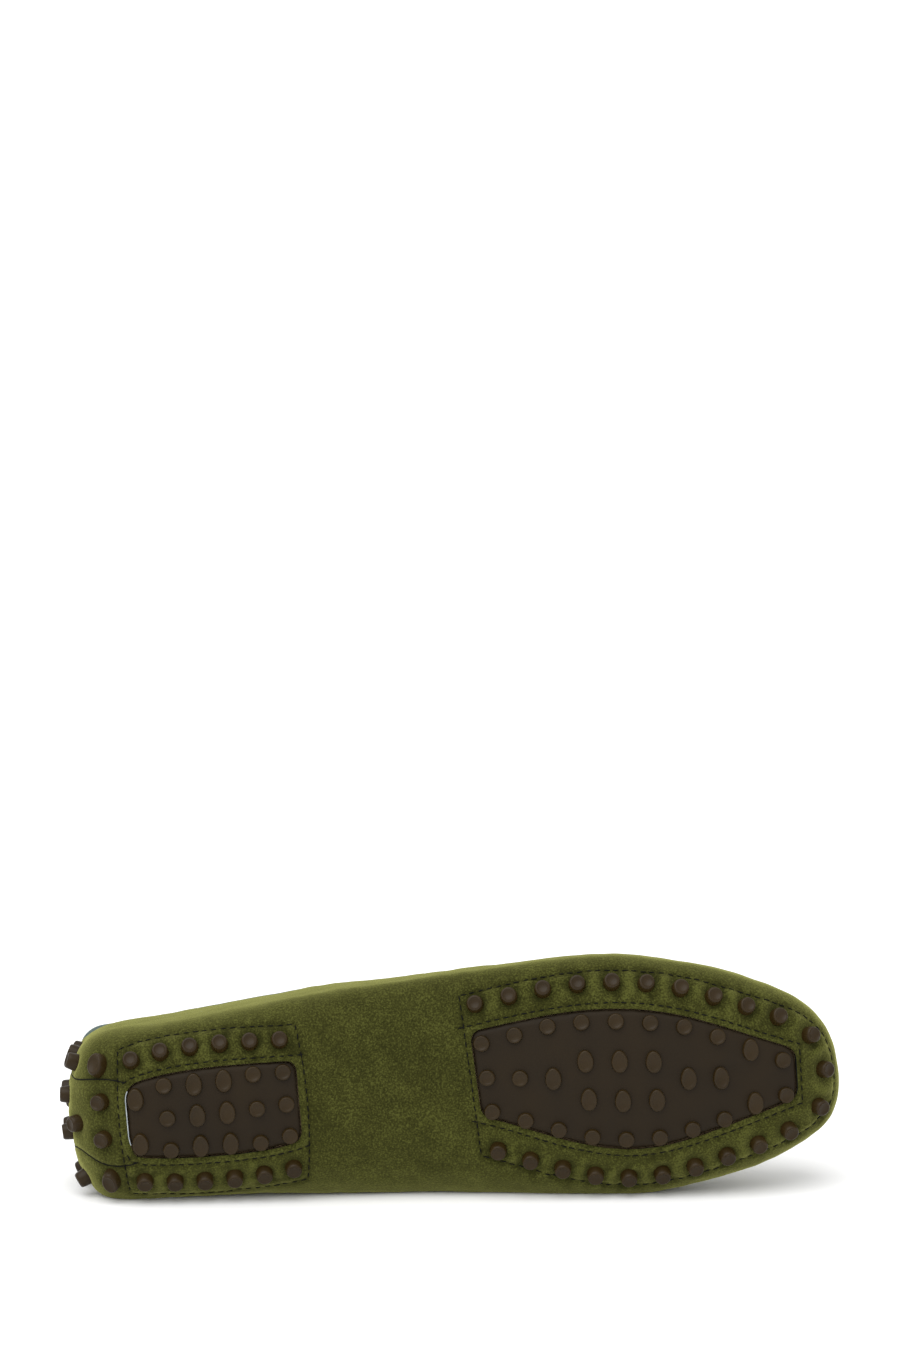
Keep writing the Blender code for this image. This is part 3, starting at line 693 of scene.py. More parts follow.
def mesh_object(name, points, faces):
    """Add an object from points in millimetres, where no primitive has the layout."""
    mesh = bpy.data.meshes.new(name)
    points = [tuple(point) for point in np.asarray(points) * MM]
    mesh.from_pydata(points, [], [tuple(map(int, face)) for face in faces])
    return linked(name, mesh)


def placed(item, name, turn):
    """Add a copy of a shape, with its own mesh moved by a matrix."""
    copy = linked(name, item.data.copy())
    copy.data.transform(turn)
    return copy


def join(name, items):
    """Join objects into the first one and rename it."""
    pick(*items)
    bpy.ops.object.join()
    items[0].name = name
    items[0].data.name = name
    return items[0]


def weld(item, distance=0.00002):
    """Merge points that lie on each other and turn all faces outwards."""
    pick(item)
    bpy.ops.object.mode_set(mode="EDIT")
    bpy.ops.mesh.select_all(action="SELECT")
    bpy.ops.mesh.remove_doubles(threshold=distance)
    bpy.ops.mesh.normals_make_consistent(inside=False)
    bpy.ops.object.mode_set(mode="OBJECT")


def face_down(item):
    """Turn the faces of an open sheet under the foot towards the ground."""
    if sum(face.normal.z * face.area for face in item.data.polygons) > 0:
        item.data.flip_normals()


def points_of(item):
    """Return the points of an object's mesh in millimetres."""
    flat = np.zeros(len(item.data.vertices) * 3)
    item.data.vertices.foreach_get("co", flat)
    return flat.reshape(-1, 3) / MM


def normals_of(item):
    """Return the smooth directions at an object's points."""
    flat = np.zeros(len(item.data.vertices) * 3)
    item.data.vertex_normals.foreach_get("vector", flat)
    return flat.reshape(-1, 3)


def move_points(item, points):
    """Put the points of an object's mesh at new places in millimetres."""
    item.data.vertices.foreach_set("co", (np.asarray(points) * MM).ravel())
    item.data.update()


def unit_grid(name, columns, rows):
    """Add a grid primitive and return it with its points, which run from -1 to 1 both ways."""
    bpy.ops.object.select_all(action="DESELECT")
    bpy.ops.mesh.primitive_grid_add(x_subdivisions=columns, y_subdivisions=rows, size=2)
    grid = bpy.context.object
    grid.name = name
    return grid, points_of(grid) * MM


def nearest(points, marks):
    """Return the distance from each point to the nearest mark, and that mark's number."""
    tree = KDTree(len(marks))
    for k, mark in enumerate(marks):
        tree.insert(mark, k)
    tree.balance()
    _, numbers, distances = zip(*[tree.find(point) for point in points])
    return np.array(distances), np.array(numbers)


def level(plan):
    """Return plan points as points at no height."""
    return np.column_stack((plan, np.zeros(len(plan))))


def apply_modifier(item, kind, **settings):
    """Add a modifier with its settings and apply it."""
    pick(item)
    change = item.modifiers.new(kind.lower(), kind)
    for name, value in settings.items():
        setattr(change, name, value)
    bpy.ops.object.modifier_apply(modifier=change.name)


def finish_piece(item, slot, *nodes, angle=40):
    """Shade a piece, lay it down, attach it to the root body and hide the frame's nodes that it replaces."""
    pick(item)
    bpy.ops.object.shade_smooth_by_angle(angle=math.radians(angle))
    item.data.transform(lying)
    item.data.update()
    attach(item, "root")
    if nodes:
        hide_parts(*nodes)
    print("%s: %d points, %d faces" % (item.name, len(item.data.vertices), len(item.data.polygons)))


print("working helpers are ready")

# %% [markdown]
# ## The upper's suede, laid out
# On the real shoe the suede is cut flat and pulled around the last. Under the foot it needs exact holes, so
# that part is a plan of small triangles that keep to every outline: the rim, both windows and the stud holes.
# Around the sides it is a grid of columns and rows, from the rim up to the collar or the crest.
# A grid primitive gives the side, and its points are then moved onto the last, which no operator can do.

# %% Suede underfoot and around the sides
COLUMNS = 520
RIM_ANGLE = -22.0
PLAN_STEP = 0.95
CLEARANCE = 0.6
SIDE_ROWS = 42
HOLE_RADIUS = 3.0
HOLE_SIDES = 14
COLLAR_BACK = 61.5
COLLAR_DIP = 49.0
COLLAR_DIP_X = 92.0
THROAT_X = 140.0
THROAT_MARGIN = 8
THROAT_RISE = 26.0
THROAT_CURVE = 2.4
columns = even_places(COLUMNS)


def collar_height(x):
    """Return the height of the collar's edge along the foot."""
    behind = np.clip((COLLAR_DIP_X - x) / COLLAR_DIP_X, 0, None)
    ahead = np.clip((x - COLLAR_DIP_X) / (THROAT_X - COLLAR_DIP_X), 0, None)
    return COLLAR_DIP + (COLLAR_BACK - COLLAR_DIP) * behind**2 + THROAT_RISE * ahead**THROAT_CURVE


def top_angles(places):
    """Return the rib angle at which each rib meets the collar, or 90 where it runs over the vamp."""
    angles = np.linspace(0, 90, 361)
    over = []
    for angle in angles:
        points = surface(places, angle)
        height = points[:, 2] - collar_height(points[:, 0])
        over.append(np.where(points[:, 0] < THROAT_X + THROAT_MARGIN, height, -1))
    over = np.array(over)
    first = np.argmax(over > 0, axis=0)
    result = np.full(len(places), 90.0)
    for j in np.nonzero(over.max(axis=0) > 0)[0]:
        i = max(first[j], 1)
        share = over[i - 1, j] / (over[i - 1, j] - over[i, j])
        result[j] = angles[i - 1] + share * (angles[i] - angles[i - 1])
    return result


collar_angles = top_angles(columns)


def circle(centre, radius, sides):
    """Return a ring of plan points."""
    turns = np.arange(sides) * 2 * np.pi / sides
    return np.asarray(centre) + radius * np.stack((np.cos(turns), np.sin(turns)), axis=1)


def plan_mesh(outer, holes, step):
    """Return plan points and triangles that fill an outline around its holes, in even small triangles."""
    low, high = outer.min(axis=0), outer.max(axis=0)
    rows = np.arange(low[1], high[1], step * math.sqrt(3) / 2)
    grid = []
    for k, y in enumerate(rows):
        row = np.arange(low[0], high[0], step) + (k % 2) * step / 2
        grid.append(np.stack((row, np.full(len(row), y)), axis=1))
    grid = np.concatenate(grid)
    keep = inside(grid, outer)
    for hole in holes:
        keep &= ~inside(grid, hole)
    grid = grid[keep]
    loops = [outer, *holes]
    marks = np.concatenate([spaced(around(loop), step / 2) for loop in loops])
    distance, _ = nearest(level(grid), level(marks))
    grid = grid[distance > CLEARANCE * step]
    points = np.concatenate(loops + [grid])
    edges = []
    start = 0
    for loop in loops:
        count = len(loop)
        edges += [(start + k, start + (k + 1) % count) for k in range(count)]
        start += count
    flat, _, faces, _, _, _ = delaunay_2d_cdt([Vector(point) for point in points], edges, [], 0, 1e-5)
    flat = np.array([tuple(point) for point in flat])
    faces = np.array([face for face in faces if len(face) == 3])
    middles = flat[faces].mean(axis=1)
    keep = inside(middles, outer)
    for hole in holes:
        keep &= ~inside(middles, hole)
    return flat, faces[keep]


def stud_hole(stud):
    """Return the plan ring of a hole that is round on the sloping skin."""
    outward = np.array(underfoot(*stud)[1])
    slope = outward[:2] / max(np.linalg.norm(outward[:2]), 1e-6)
    ring = circle((0, 0), HOLE_RADIUS, HOLE_SIDES)
    return stud + ring - np.outer(ring @ slope, slope) * (1 - abs(outward[2]))


def suede_sole():
    """Return the suede under the foot as an object."""
    rim = surface(columns, RIM_ANGLE)
    holes = [stud_hole(stud) for stud in edge_studs]
    outlines = [spaced(around(outline), PLAN_STEP)[:-1] for outline in windows.values()]
    flat, faces = plan_mesh(rim[:, :2], outlines + holes, PLAN_STEP)
    points = []
    for k, (x, y) in enumerate(flat):
        points.append(rim[k] if k < COLUMNS else underfoot(x, y)[0])
    return mesh_object("suede_sole", np.array(points), faces)


def suede_side():
    """Return the suede around the sides as an object, from a grid primitive."""
    side, grid = unit_grid("suede_side", COLUMNS, SIDE_ROWS)
    across = np.rint((grid[:, 0] + 1) / 2 * COLUMNS).astype(int) % COLUMNS
    up = (grid[:, 1] + 1) / 2
    angle = RIM_ANGLE + (collar_angles[across] - RIM_ANGLE) * up
    move_points(side, surface(columns[across], angle))
    return side


upper = join("upper_suede", [suede_sole(), suede_side()])
weld(upper)
print("suede upper before its relief: %d points" % len(upper.data.vertices))

# %% [markdown]
# ## Where the stitches run
# Two lines of stitches hold the suede to the rubber around each pad, and lines across the foot end each
# field. Over the heel the inner lines carry on as two plain seams beside a back strap. The lines are kept as
# points on the skin, a short step apart, because both the relief and the thread need them.

# %% Seam lines on the skin
SEAM_STEP = 0.4
BOW_POINTS = 41
STRAP_POINTS = 200
STITCH_OVERRUN = 2.5
STITCH_MARGIN = 1.3
FRONT_BOW = 2.2
REAR_BOW = -1.6
APRON_ANGLE = 45.0
APRON_MARGIN = 3
Seam = namedtuple("Seam", "points outward")
StrapSeam = namedtuple("StrapSeam", "foot_place foot_angle back_place")
STRAP_SEAMS = (StrapSeam(36.0, -62.0, 13.0), StrapSeam(-25.0, -66.0, -10.5))
STRAP_TURN = -15.0


def plan_seam(line):
    """Return a sewn seam under the foot along a plan line."""
    points, outward = zip(*[underfoot(x, y) for x, y in spaced(line, SEAM_STEP)])
    return Seam(np.array(points), np.array(outward))


def bowed(start, end, bow):
    """Return a plan line across the foot that bows towards the toe."""
    share = np.linspace(0, 1, BOW_POINTS)[:, None]
    line = start + (end - start) * share
    line[:, 0] += bow * 4 * (share * (1 - share))[:, 0]
    return line


def sole_seams():
    """Return all sewn seams under the foot."""
    outer = np.concatenate(stretches(FOREFOOT))
    inner, far = field_sides(FOREFOOT, FOREFOOT.inner_stitch, FOREFOOT.outer_stitch,
                             FOREFOOT.rear - STITCH_OVERRUN, FOREFOOT.window_front + STITCH_MARGIN)
    lines = [outer, np.concatenate((inner, far[::-1])), bowed(outer[0], outer[-1], 0.0)]
    inner_side, outer_side = stretches(HEEL)
    lines += [inner_side, outer_side, bowed(inner_side[0], outer_side[-1], REAR_BOW),
              bowed(inner_side[-1], outer_side[0], FRONT_BOW)]
    lines += field_sides(HEEL, HEEL.inner_stitch, HEEL.outer_stitch, HEEL.rear, HEEL.front + STITCH_OVERRUN)
    return [plan_seam(line) for line in lines]


def strap_seams():
    """Return the two plain seams beside the back strap, curving from the inner stitches up to the collar."""
    seams = []
    for row in STRAP_SEAMS:
        top = np.interp(row.back_place % loop_length, columns, collar_angles)
        angles = np.linspace(row.foot_angle, top - 1, STRAP_POINTS)
        share = np.clip((STRAP_TURN - angles) / (STRAP_TURN - row.foot_angle), 0, 1)
        seams.append(Seam(*skin(row.back_place + (row.foot_place - row.back_place) * share**2, angles)))
    return seams


def apron_seam():
    """Return the raised seam around the apron, from one side of the throat around the toe to the other."""
    places = columns[collar_angles > APRON_ANGLE + APRON_MARGIN]
    return Seam(*skin(places, APRON_ANGLE))


seams = sole_seams()
straps = strap_seams()
apron = apron_seam()
print("sewn seams under the foot:", len(seams), "apron seam points:", len(apron.points))

# %% [markdown]
# ## Relief of the suede
# Thread pulls the suede down into small grooves, each stud sits in a dimple, and between two studs the band
# puckers into a bar. These folds are placed as soft troughs and ridges, because their places are
# known: each has a height and a width. The collar flares a little at the outer corner of the heel, where soft
# suede opens out. The same folds give the stored number nap, which is painted light and shade: bars are
# painted lighter and the hollows painted darker, where shade falls.
# Solidify then gives the sheet its wall, with lining inside. It has no holes for the studs up the heel, so
# that the lining behind them is whole.

# %% Troughs, bars and puckers
UNDERFOOT_HEIGHT = 16.0
FAR = 99.0
PUCKER_REACH = 10.0
PUCKER_FADE = 4.0
FLARE_PLACE = -26.0
FLARE = np.array((-5.0, 1.8, 0.0))
FLARE_WIDTH = 8.5
WALL = 2.0
Fold = namedtuple("Fold", "height width")
GROOVE = Fold(-0.5, 0.85)
STRAP_GROOVE = Fold(-0.5, 0.8)
DIMPLE = Fold(-0.55, 2.0)
LIP = Fold(0.45, 1.3)
EDGE_ROLL = Fold(-0.3, 0.7)
APRON_RIDGE = Fold(1.3, 1.5)
GATHERS = Fold(0.22, 2.2)
BARS = Fold(0.6, 6.4)
CRUMPLE = Fold(0.34, 4.6)
LONG_WAVES = Fold(0.22, 26)
SHORT_WAVES = Fold(0.1, 9)
CRUMPLE_PATCH = 13
NAP_PATCH = 16
STUD_RADIUS = 3.0
LIP_PLACE = 1.9
GATHER_PLACE = 2.5
GATHER_POINTS = 4
BAR_SLANT = 0.18
BAR_LENGTHS = (1.4, 2.8)
BAR_STRENGTHS = (0.35, 1.0)
WAVE_COUNT = 7
WAVE_LENGTHS = (0.7, 1.5)
WAVE_SUM = 3.2


def swell(distance, width):
    """Return a soft bump that is 1 at no distance and fades over a width."""
    return np.exp(-(distance / width) ** 2)


def waves(points, length, seed):
    """Return a smooth random height between about -1 and 1, with waves of a length."""
    random = np.random.default_rng(seed)
    total = np.zeros(len(points))
    for _ in range(WAVE_COUNT):
        way = random.normal(size=3)
        way *= 2 * np.pi / (length * random.uniform(*WAVE_LENGTHS) * np.linalg.norm(way))
        total += np.sin(points @ way + random.uniform(0, 2 * np.pi))
    return total / WAVE_SUM


def bar_heights(plan):
    """Return the height of the bars midway between neighbouring studs."""
    height = np.zeros(len(plan))
    random = np.random.default_rng(12)
    for row in edge_rows:
        for start, end in zip(row[:-1], row[1:]):
            along = (end - start) / np.linalg.norm(end - start)
            way = plan - (start + end) / 2
            width = way @ np.array((-along[1], along[0]))
            length = way @ along + random.uniform(-BAR_SLANT, BAR_SLANT) * width
            bar = swell(length, random.uniform(*BAR_LENGTHS)) * np.clip(1 - (width / BARS.width) ** 2, 0, 1)
            height = np.maximum(height, bar * random.uniform(*BAR_STRENGTHS))
    return height


def suede_relief(points):
    """Return how far each point of the suede is moved outwards, and its nap: painted light and shade, with
    random patches.
    """
    plan = points[:, :2]
    under = points[:, 2] < UNDERFOOT_HEIGHT
    stitch_distance, _ = nearest(points, np.concatenate([seam.points for seam in seams]))
    strap_distance, _ = nearest(points, np.concatenate([seam.points for seam in straps]))
    apron_distance, apron_mark = nearest(points, apron.points)
    edge_distance, _ = nearest(points, [underfoot(x, y)[0] for x, y in edge_studs])
    back_distance, _ = nearest(points, [Vector(point) for point, _, _ in back_studs])
    stud_distance = np.minimum(edge_distance, back_distance)
    window_distance, _ = nearest(level(plan), level(np.concatenate(list(windows.values()))))
    window_distance = np.where(under, window_distance, FAR)
    bars = np.where(under, bar_heights(plan), 0.0)
    groove = swell(stitch_distance, GROOVE.width)
    dimple = swell(np.maximum(stud_distance - STUD_RADIUS, 0), DIMPLE.width)
    lip = swell(window_distance - LIP_PLACE, LIP.width)
    gathers = np.cos(apron_mark * 2 * np.pi / GATHER_POINTS)
    gathers *= swell(apron_distance - GATHER_PLACE, GATHERS.width)
    crumple = waves(points, CRUMPLE.width, seed=11) * waves(points, CRUMPLE_PATCH, seed=15)
    crumple *= np.clip((PUCKER_REACH - edge_distance) / PUCKER_FADE, 0, 1)
    height = BARS.height * bars + GROOVE.height * groove + DIMPLE.height * dimple + LIP.height * lip
    height += EDGE_ROLL.height * swell(window_distance, EDGE_ROLL.width) + CRUMPLE.height * crumple
    height += STRAP_GROOVE.height * swell(strap_distance, STRAP_GROOVE.width)
    height += APRON_RIDGE.height * swell(apron_distance, APRON_RIDGE.width) + GATHERS.height * gathers
    height += LONG_WAVES.height * waves(points, LONG_WAVES.width, seed=3)
    height += SHORT_WAVES.height * waves(points, SHORT_WAVES.width, seed=5)
    # Painted light and shade: bars, crumples and the lip are lighter; dimples, stitch grooves and the strap
    # seam darker. The slow waves are random nap.
    nap = 0.5 + 0.5 * bars + 0.4 * crumple - 0.3 * dimple - 0.3 * groove + 0.2 * lip
    nap += 0.07 * waves(points, NAP_PATCH, seed=9) - 0.3 * swell(strap_distance, 1.0)
    return height, np.clip(nap, 0, 1)


def collar_flare(points):
    """Return how each point of the suede moves where the collar opens out."""
    place = FLARE_PLACE % loop_length
    middle = surface(place, np.interp(place, columns, collar_angles))
    return swell(np.linalg.norm(points - middle, axis=1), FLARE_WIDTH)[:, None] * FLARE


flat_points = points_of(upper)
heights, painted_shade_and_nap_values = suede_relief(flat_points)
raised = flat_points + normals_of(upper) * heights[:, None] + collar_flare(flat_points)
sunk = np.maximum(raised @ down - REST_REACH, 0)
raised -= sunk[:, None] * down
move_points(upper, raised)
suede_tree = BVHTree.FromPolygons([Vector(point) for point in raised],
                                  [tuple(face.vertices) for face in upper.data.polygons])
# Store the painted light and shade, with random nap patches, as the number nap.
upper.data.attributes.new("nap", "FLOAT", "POINT").data.foreach_set("value", painted_shade_and_nap_values)
for material in (suede, lining, cut_edge):
    upper.data.materials.append(material)
apply_modifier(upper, "SOLIDIFY", thickness=WALL * MM, offset=-1, material_offset=1, material_offset_rim=2)
finish_piece(upper, "suede", "upper", angle=60)

# %% [markdown]
# ## One stud of each kind
# A stud is a turned shape, so half its outline is drawn as a chain of edges and spun around its axis. Studs
# beside the pads and up the heel are tall soft cones with a dished top; those on the pads are low discs. Long
# ones on the pads are egg-shaped: the disc is stretched, and narrowed towards the outer side of the foot.

# %% Turn the studs
STUD_SIDES = 24
LONG_STRETCH = 1.4
EGG_TAPER = 0.06 / 2.9
STUD_WELD = 0.000005
TALL_PROFILE = ((0.0, -2.0), (3.3, -2.0), (3.3, 0.0), (3.22, 0.8), (3.1, 1.8), (2.98, 2.5), (2.78, 2.95),
                (2.5, 3.18), (2.25, 3.2), (2.0, 3.0), (1.5, 2.75), (0.0, 2.62))
DISC_PROFILE = ((0.0, -0.4), (3.1, -0.4), (3.1, 0.05), (3.04, 0.5), (2.98, 1.1), (2.88, 1.4),
                (2.65, 1.58), (2.4, 1.6), (2.1, 1.4), (1.6, 1.2), (0.0, 1.12))


def turned(name, profile, sides):
    """Return an object spun from half its outline, radius and height, around the upright axis."""
    mesh = bpy.data.meshes.new(name)
    points = [(radius * MM, 0, height * MM) for radius, height in profile]
    mesh.from_pydata(points, [(k, k + 1) for k in range(len(points) - 1)], [])
    item = linked(name, mesh)
    pick(item)
    bpy.ops.object.mode_set(mode="EDIT")
    bpy.ops.mesh.select_all(action="SELECT")
    bpy.ops.mesh.spin(steps=sides, angle=2 * math.pi, center=(0, 0, 0), axis=(0, 0, 1))
    bpy.ops.object.mode_set(mode="OBJECT")
    weld(item, STUD_WELD)
    return item


tall_stud = turned("tall_stud", TALL_PROFILE, STUD_SIDES)
disc_stud = turned("disc_stud", DISC_PROFILE, STUD_SIDES)
egg_stud = turned("egg_stud", DISC_PROFILE, STUD_SIDES)
egg_points = points_of(egg_stud)
egg_points[:, 0] *= 1 + EGG_TAPER * egg_points[:, 1]
egg_points[:, 1] *= LONG_STRETCH
move_points(egg_stud, egg_points)
print("faces of a tall stud, a disc and an egg:",
      [len(item.data.polygons) for item in (tall_stud, disc_stud, egg_stud)])

# %% [markdown]
# ## Standing the studs on the skin
# Each copy is turned so that its axis follows the skin's outward direction and its long way runs across the
# foot, then put on its place. Copies of one unit are joined with its pad, as they come out of one mould. At
# the rear end of the heel's window a pale raw edge shows between suede and pad, a thin cord here, its pale
# colour partly a painted highlight.

# %% Copies on their places
PAD_RECESS = 0.4
PAD_GAP = 0.35
PAD_STEP = 1.3
PAD_THICK = 1.8
PAD_ROLL = 0.9
PAD_ROLL_WIDTH = 1.5
RAW_EDGE = 0.2
RAW_REACH = 1.0


def cord_along(name, points, radius, closed=False):
    """Return a round cord along points in millimetres: a bevelled curve, made a mesh."""
    curve = bpy.data.curves.new(name, "CURVE")
    curve.dimensions = "3D"
    curve.bevel_depth = radius * MM
    curve.bevel_resolution = 2
    curve.use_fill_caps = not closed
    spline = curve.splines.new("POLY")
    spline.points.add(len(points) - 1)
    for spot, point in zip(spline.points, points):
        spot.co = (*(Vector(point) * MM), 1)
    spline.use_cyclic_u = closed
    pick(linked(name, curve))
    bpy.ops.object.convert(target="MESH")
    return bpy.context.object


def stood(item, name, point, outward, stretch=1.0):
    """Return a copy of a shape that stands on a point of the skin, in millimetres."""
    up = Vector(outward).normalized()
    across = Vector((0, 1, 0))
    long_way = (across - up * across.dot(up)).normalized()
    short_way = long_way.cross(up)
    turn = Matrix((short_way, long_way * stretch, up)).transposed().to_4x4()
    turn.translation = Vector(point) * MM
    return placed(item, name, turn)


def inset_outline(outline, gap):
    """Return a closed plan outline moved inwards by a gap."""
    side = rightward(outline)
    moved = outline + side * gap
    return moved if inside(moved[:1], outline)[0] else outline - side * gap


def rubber_pad(name):
    """Return one pad that fills its window just under the suede, with a rolled border."""
    outline = inset_outline(spaced(around(windows[name]), PAD_STEP)[:-1], PAD_GAP)
    flat, faces = plan_mesh(outline, [], PAD_STEP)
    distance, _ = nearest(level(flat), level(spaced(around(outline), OUTLINE_STEP)))
    points = []
    for (x, y), near in zip(flat, distance):
        point, outward = underfoot(x, y)
        depth = PAD_RECESS + PAD_ROLL * max(0.0, 1 - near / PAD_ROLL_WIDTH) ** 2
        points.append(np.array(point - outward * depth))
    pad = mesh_object(name + "_pad", points, faces)
    weld(pad)
    face_down(pad)
    apply_modifier(pad, "SOLIDIFY", thickness=PAD_THICK * MM, offset=-1)
    pad.data.materials.append(pad_rubber)
    return pad


def raw_edge_highlight():
    """Return the pale raw edge, partly a painted highlight, between the suede and the heel pad at the
    window's rear end.
    """
    outline = inset_outline(windows["heel"], RAW_EDGE)
    rear = outline[outline[:, 0] < outline[:, 0].min() + RAW_REACH]
    spots = [underfoot(x, y) for x, y in rear[np.argsort(rear[:, 1])]]
    strip = cord_along("raw_edge_highlight", [point - outward * RAW_EDGE for point, outward in spots], RAW_EDGE)
    strip.data.materials.append(raw_edge_highlight_finish)
    return strip


def rubber_unit(name, edge_places):
    """Return one moulding: a pad with its own studs and those that stand through the suede around it."""
    studs = []
    for x, y in edge_places:
        studs.append(stood(tall_stud, "edge_stud", *underfoot(x, y)))
    for (x, y), is_long in pad_studs[name]:
        point, outward = underfoot(x, y)
        shape = egg_stud if is_long else disc_stud
        studs.append(stood(shape, "pad_stud", point - outward * PAD_RECESS, outward))
    for stud in studs:
        stud.data.materials.append(stud_rubber_painted_lighter)
    return join(name + "_rubber", [rubber_pad(name), *studs])


forefoot_rubber = rubber_unit("forefoot", forefoot_ring)
finish_piece(forefoot_rubber, "rubber", "forefoot_sole")
heel_rubber = rubber_unit("heel", np.concatenate((heel_inner, heel_outer)))
heel_rubber = join("heel_rubber", [heel_rubber, raw_edge_highlight()])
finish_piece(heel_rubber, "rubber", "heel_sole")
back_copies = [stood(tall_stud, "back_stud", *stud) for stud in back_studs]
for copy in back_copies:
    copy.data.materials.append(stud_rubber_painted_lighter)
back_rubber = join("heel_back_rubber", back_copies)
finish_piece(back_rubber, "rubber", "heel_back_studs")

# %% [markdown]
# ## Stitches
# A stitch is a short length of thread that dives into the suede at both ends. One is made from a small
# sphere, stretched by moving its two halves apart, and copied along every sewn seam. A ray finds the finished
# suede at each place, so the stitches sit in their grooves whatever the relief does there. The apron's
# stitches cross its ridge, as a hand sewer leaves them. The seams beside the back strap are closed from
# inside: they show only a dark line, made here as a thin cord along a curve.

# %% One stitch, then all of them
STITCH_RADIUS = 0.25
STITCH_LENGTH = 2.2
STITCH_PITCH = 3.4
STITCH_LIFT = 0.1
STITCH_SWING = 0.12
STITCH_DRAW = (0.8, 1.12)
APRON_STITCH = 4.4
APRON_PITCH = 4.2
STRAP_CORD = 0.24
STRAP_STRIDE = 3
RAY_REACH = 4


def one_stitch(name, length):
    """Return a stitch along the x axis."""
    bpy.ops.object.select_all(action="DESELECT")
    bpy.ops.mesh.primitive_uv_sphere_add(segments=6, ring_count=4, radius=STITCH_RADIUS * MM,
                                         rotation=(0, math.pi / 2, 0))
    bpy.ops.object.transform_apply(location=False, rotation=True, scale=False)
    stitch = bpy.context.object
    stitch.name = name
    points = points_of(stitch)
    reach = length / 2 - STITCH_RADIUS
    points[:, 0] += np.where(points[:, 0] > 0.01, reach, np.where(points[:, 0] < -0.01, -reach, 0.0))
    move_points(stitch, points)
    stitch.data.materials.append(thread)
    return stitch


def on_suede(point, outward):
    """Return the place on the finished suede over or under a point of the skin."""
    found, _, _, _ = suede_tree.ray_cast(Vector(point) + outward * RAY_REACH, -outward, 2 * RAY_REACH)
    return found if found else Vector(point)


def sewn(seam, stitch, pitch, random, across=False):
    """Return copies of a stitch along a seam, or across it, each swung and drawn out a little by chance."""
    way = travelled(seam.points)
    count = int(way[-1] / pitch)
    copies = []
    for stop in (np.arange(count) + 0.5) * way[-1] / count:
        k = min(max(int(np.searchsorted(way, stop)), 1), len(way) - 1)
        along = Vector(seam.points[k] - seam.points[k - 1]).normalized()
        up = Vector(seam.outward[k]).normalized()
        side = up.cross(along).normalized()
        if across:
            along, side = side, -along
        turn = Matrix((along, side, along.cross(side))).transposed().to_4x4()
        turn = turn @ Matrix.Rotation(random.uniform(-STITCH_SWING, STITCH_SWING), 4, "Z")
        turn = turn @ Matrix.Diagonal((random.uniform(*STITCH_DRAW), 1, 1, 1))
        turn.translation = (on_suede(seam.points[k], up) + up * STITCH_LIFT) * MM
        copies.append(placed(stitch, "stitch", turn))
    return copies


short_stitch = one_stitch("short_stitch", STITCH_LENGTH)
apron_stitch = one_stitch("apron_stitch", APRON_STITCH)
chance = np.random.default_rng(8)
threads = []
for seam in seams:
    threads += sewn(seam, short_stitch, STITCH_PITCH, chance)
threads += sewn(apron, apron_stitch, APRON_PITCH, chance, across=True)
for strap in straps:
    line = [on_suede(point, Vector(outward)) for point, outward in zip(strap.points, strap.outward)]
    cord = cord_along("strap_cord", line[::STRAP_STRIDE], STRAP_CORD)
    cord.data.materials.append(thread)
    threads.append(cord)
seam_stitches = join("seam_stitches", threads)
finish_piece(seam_stitches, "thread")

# %% [markdown]
# ## Collar binding
# The collar's edge is bound with a narrow strip, so that no raw edge rubs the ankle. It shows as a thin round
# cord along the edge of the opening. The cord runs in the middle of the wall, just below the suede's edge,
# and rolls outwards where the collar flares at the heel's corner.

# %% Binding around the opening
BINDING_RADIUS = 1.15
BINDING_DROP = 0.8
BINDING_SHOW = 1.6
BINDING_SMOOTHING = 3
CREST_ANGLE = 89.9


def collar_line():
    """Return points around the opening, along the outer side to the heel and along the inner side back."""
    bare = np.nonzero(collar_angles < CREST_ANGLE)[0]
    inner = bare[bare < COLUMNS // 2]
    outer = bare[bare >= COLUMNS // 2]
    order = np.concatenate((outer, inner, inner[-1:] + 1))
    points, outward = skin(columns[order], collar_angles[order] - BINDING_DROP)
    edge = np.array([suede_tree.find_nearest(Vector(point))[0] for point in points])
    from_flare = (columns[order] - FLARE_PLACE + loop_length / 2) % loop_length - loop_length / 2
    depth = WALL / 2 - BINDING_SHOW * swell(from_flare, FLARE_WIDTH)
    line = edge - outward * depth[:, None]
    for _ in range(BINDING_SMOOTHING):
        line = (np.roll(line, 1, axis=0) + 2 * line + np.roll(line, -1, axis=0)) / 4
    return line


binding = cord_along("collar_binding", collar_line(), BINDING_RADIUS, closed=True)
binding.data.materials.append(binding_leather)
weld(binding)
finish_piece(binding, "suede")

# %% [markdown]
# ## Footbed
# A leather-covered footbed lies on the rubber plates and shows through the opening. A grid primitive gives
# its underside, moved under the skin of the last, and Solidify gives it thickness upwards.

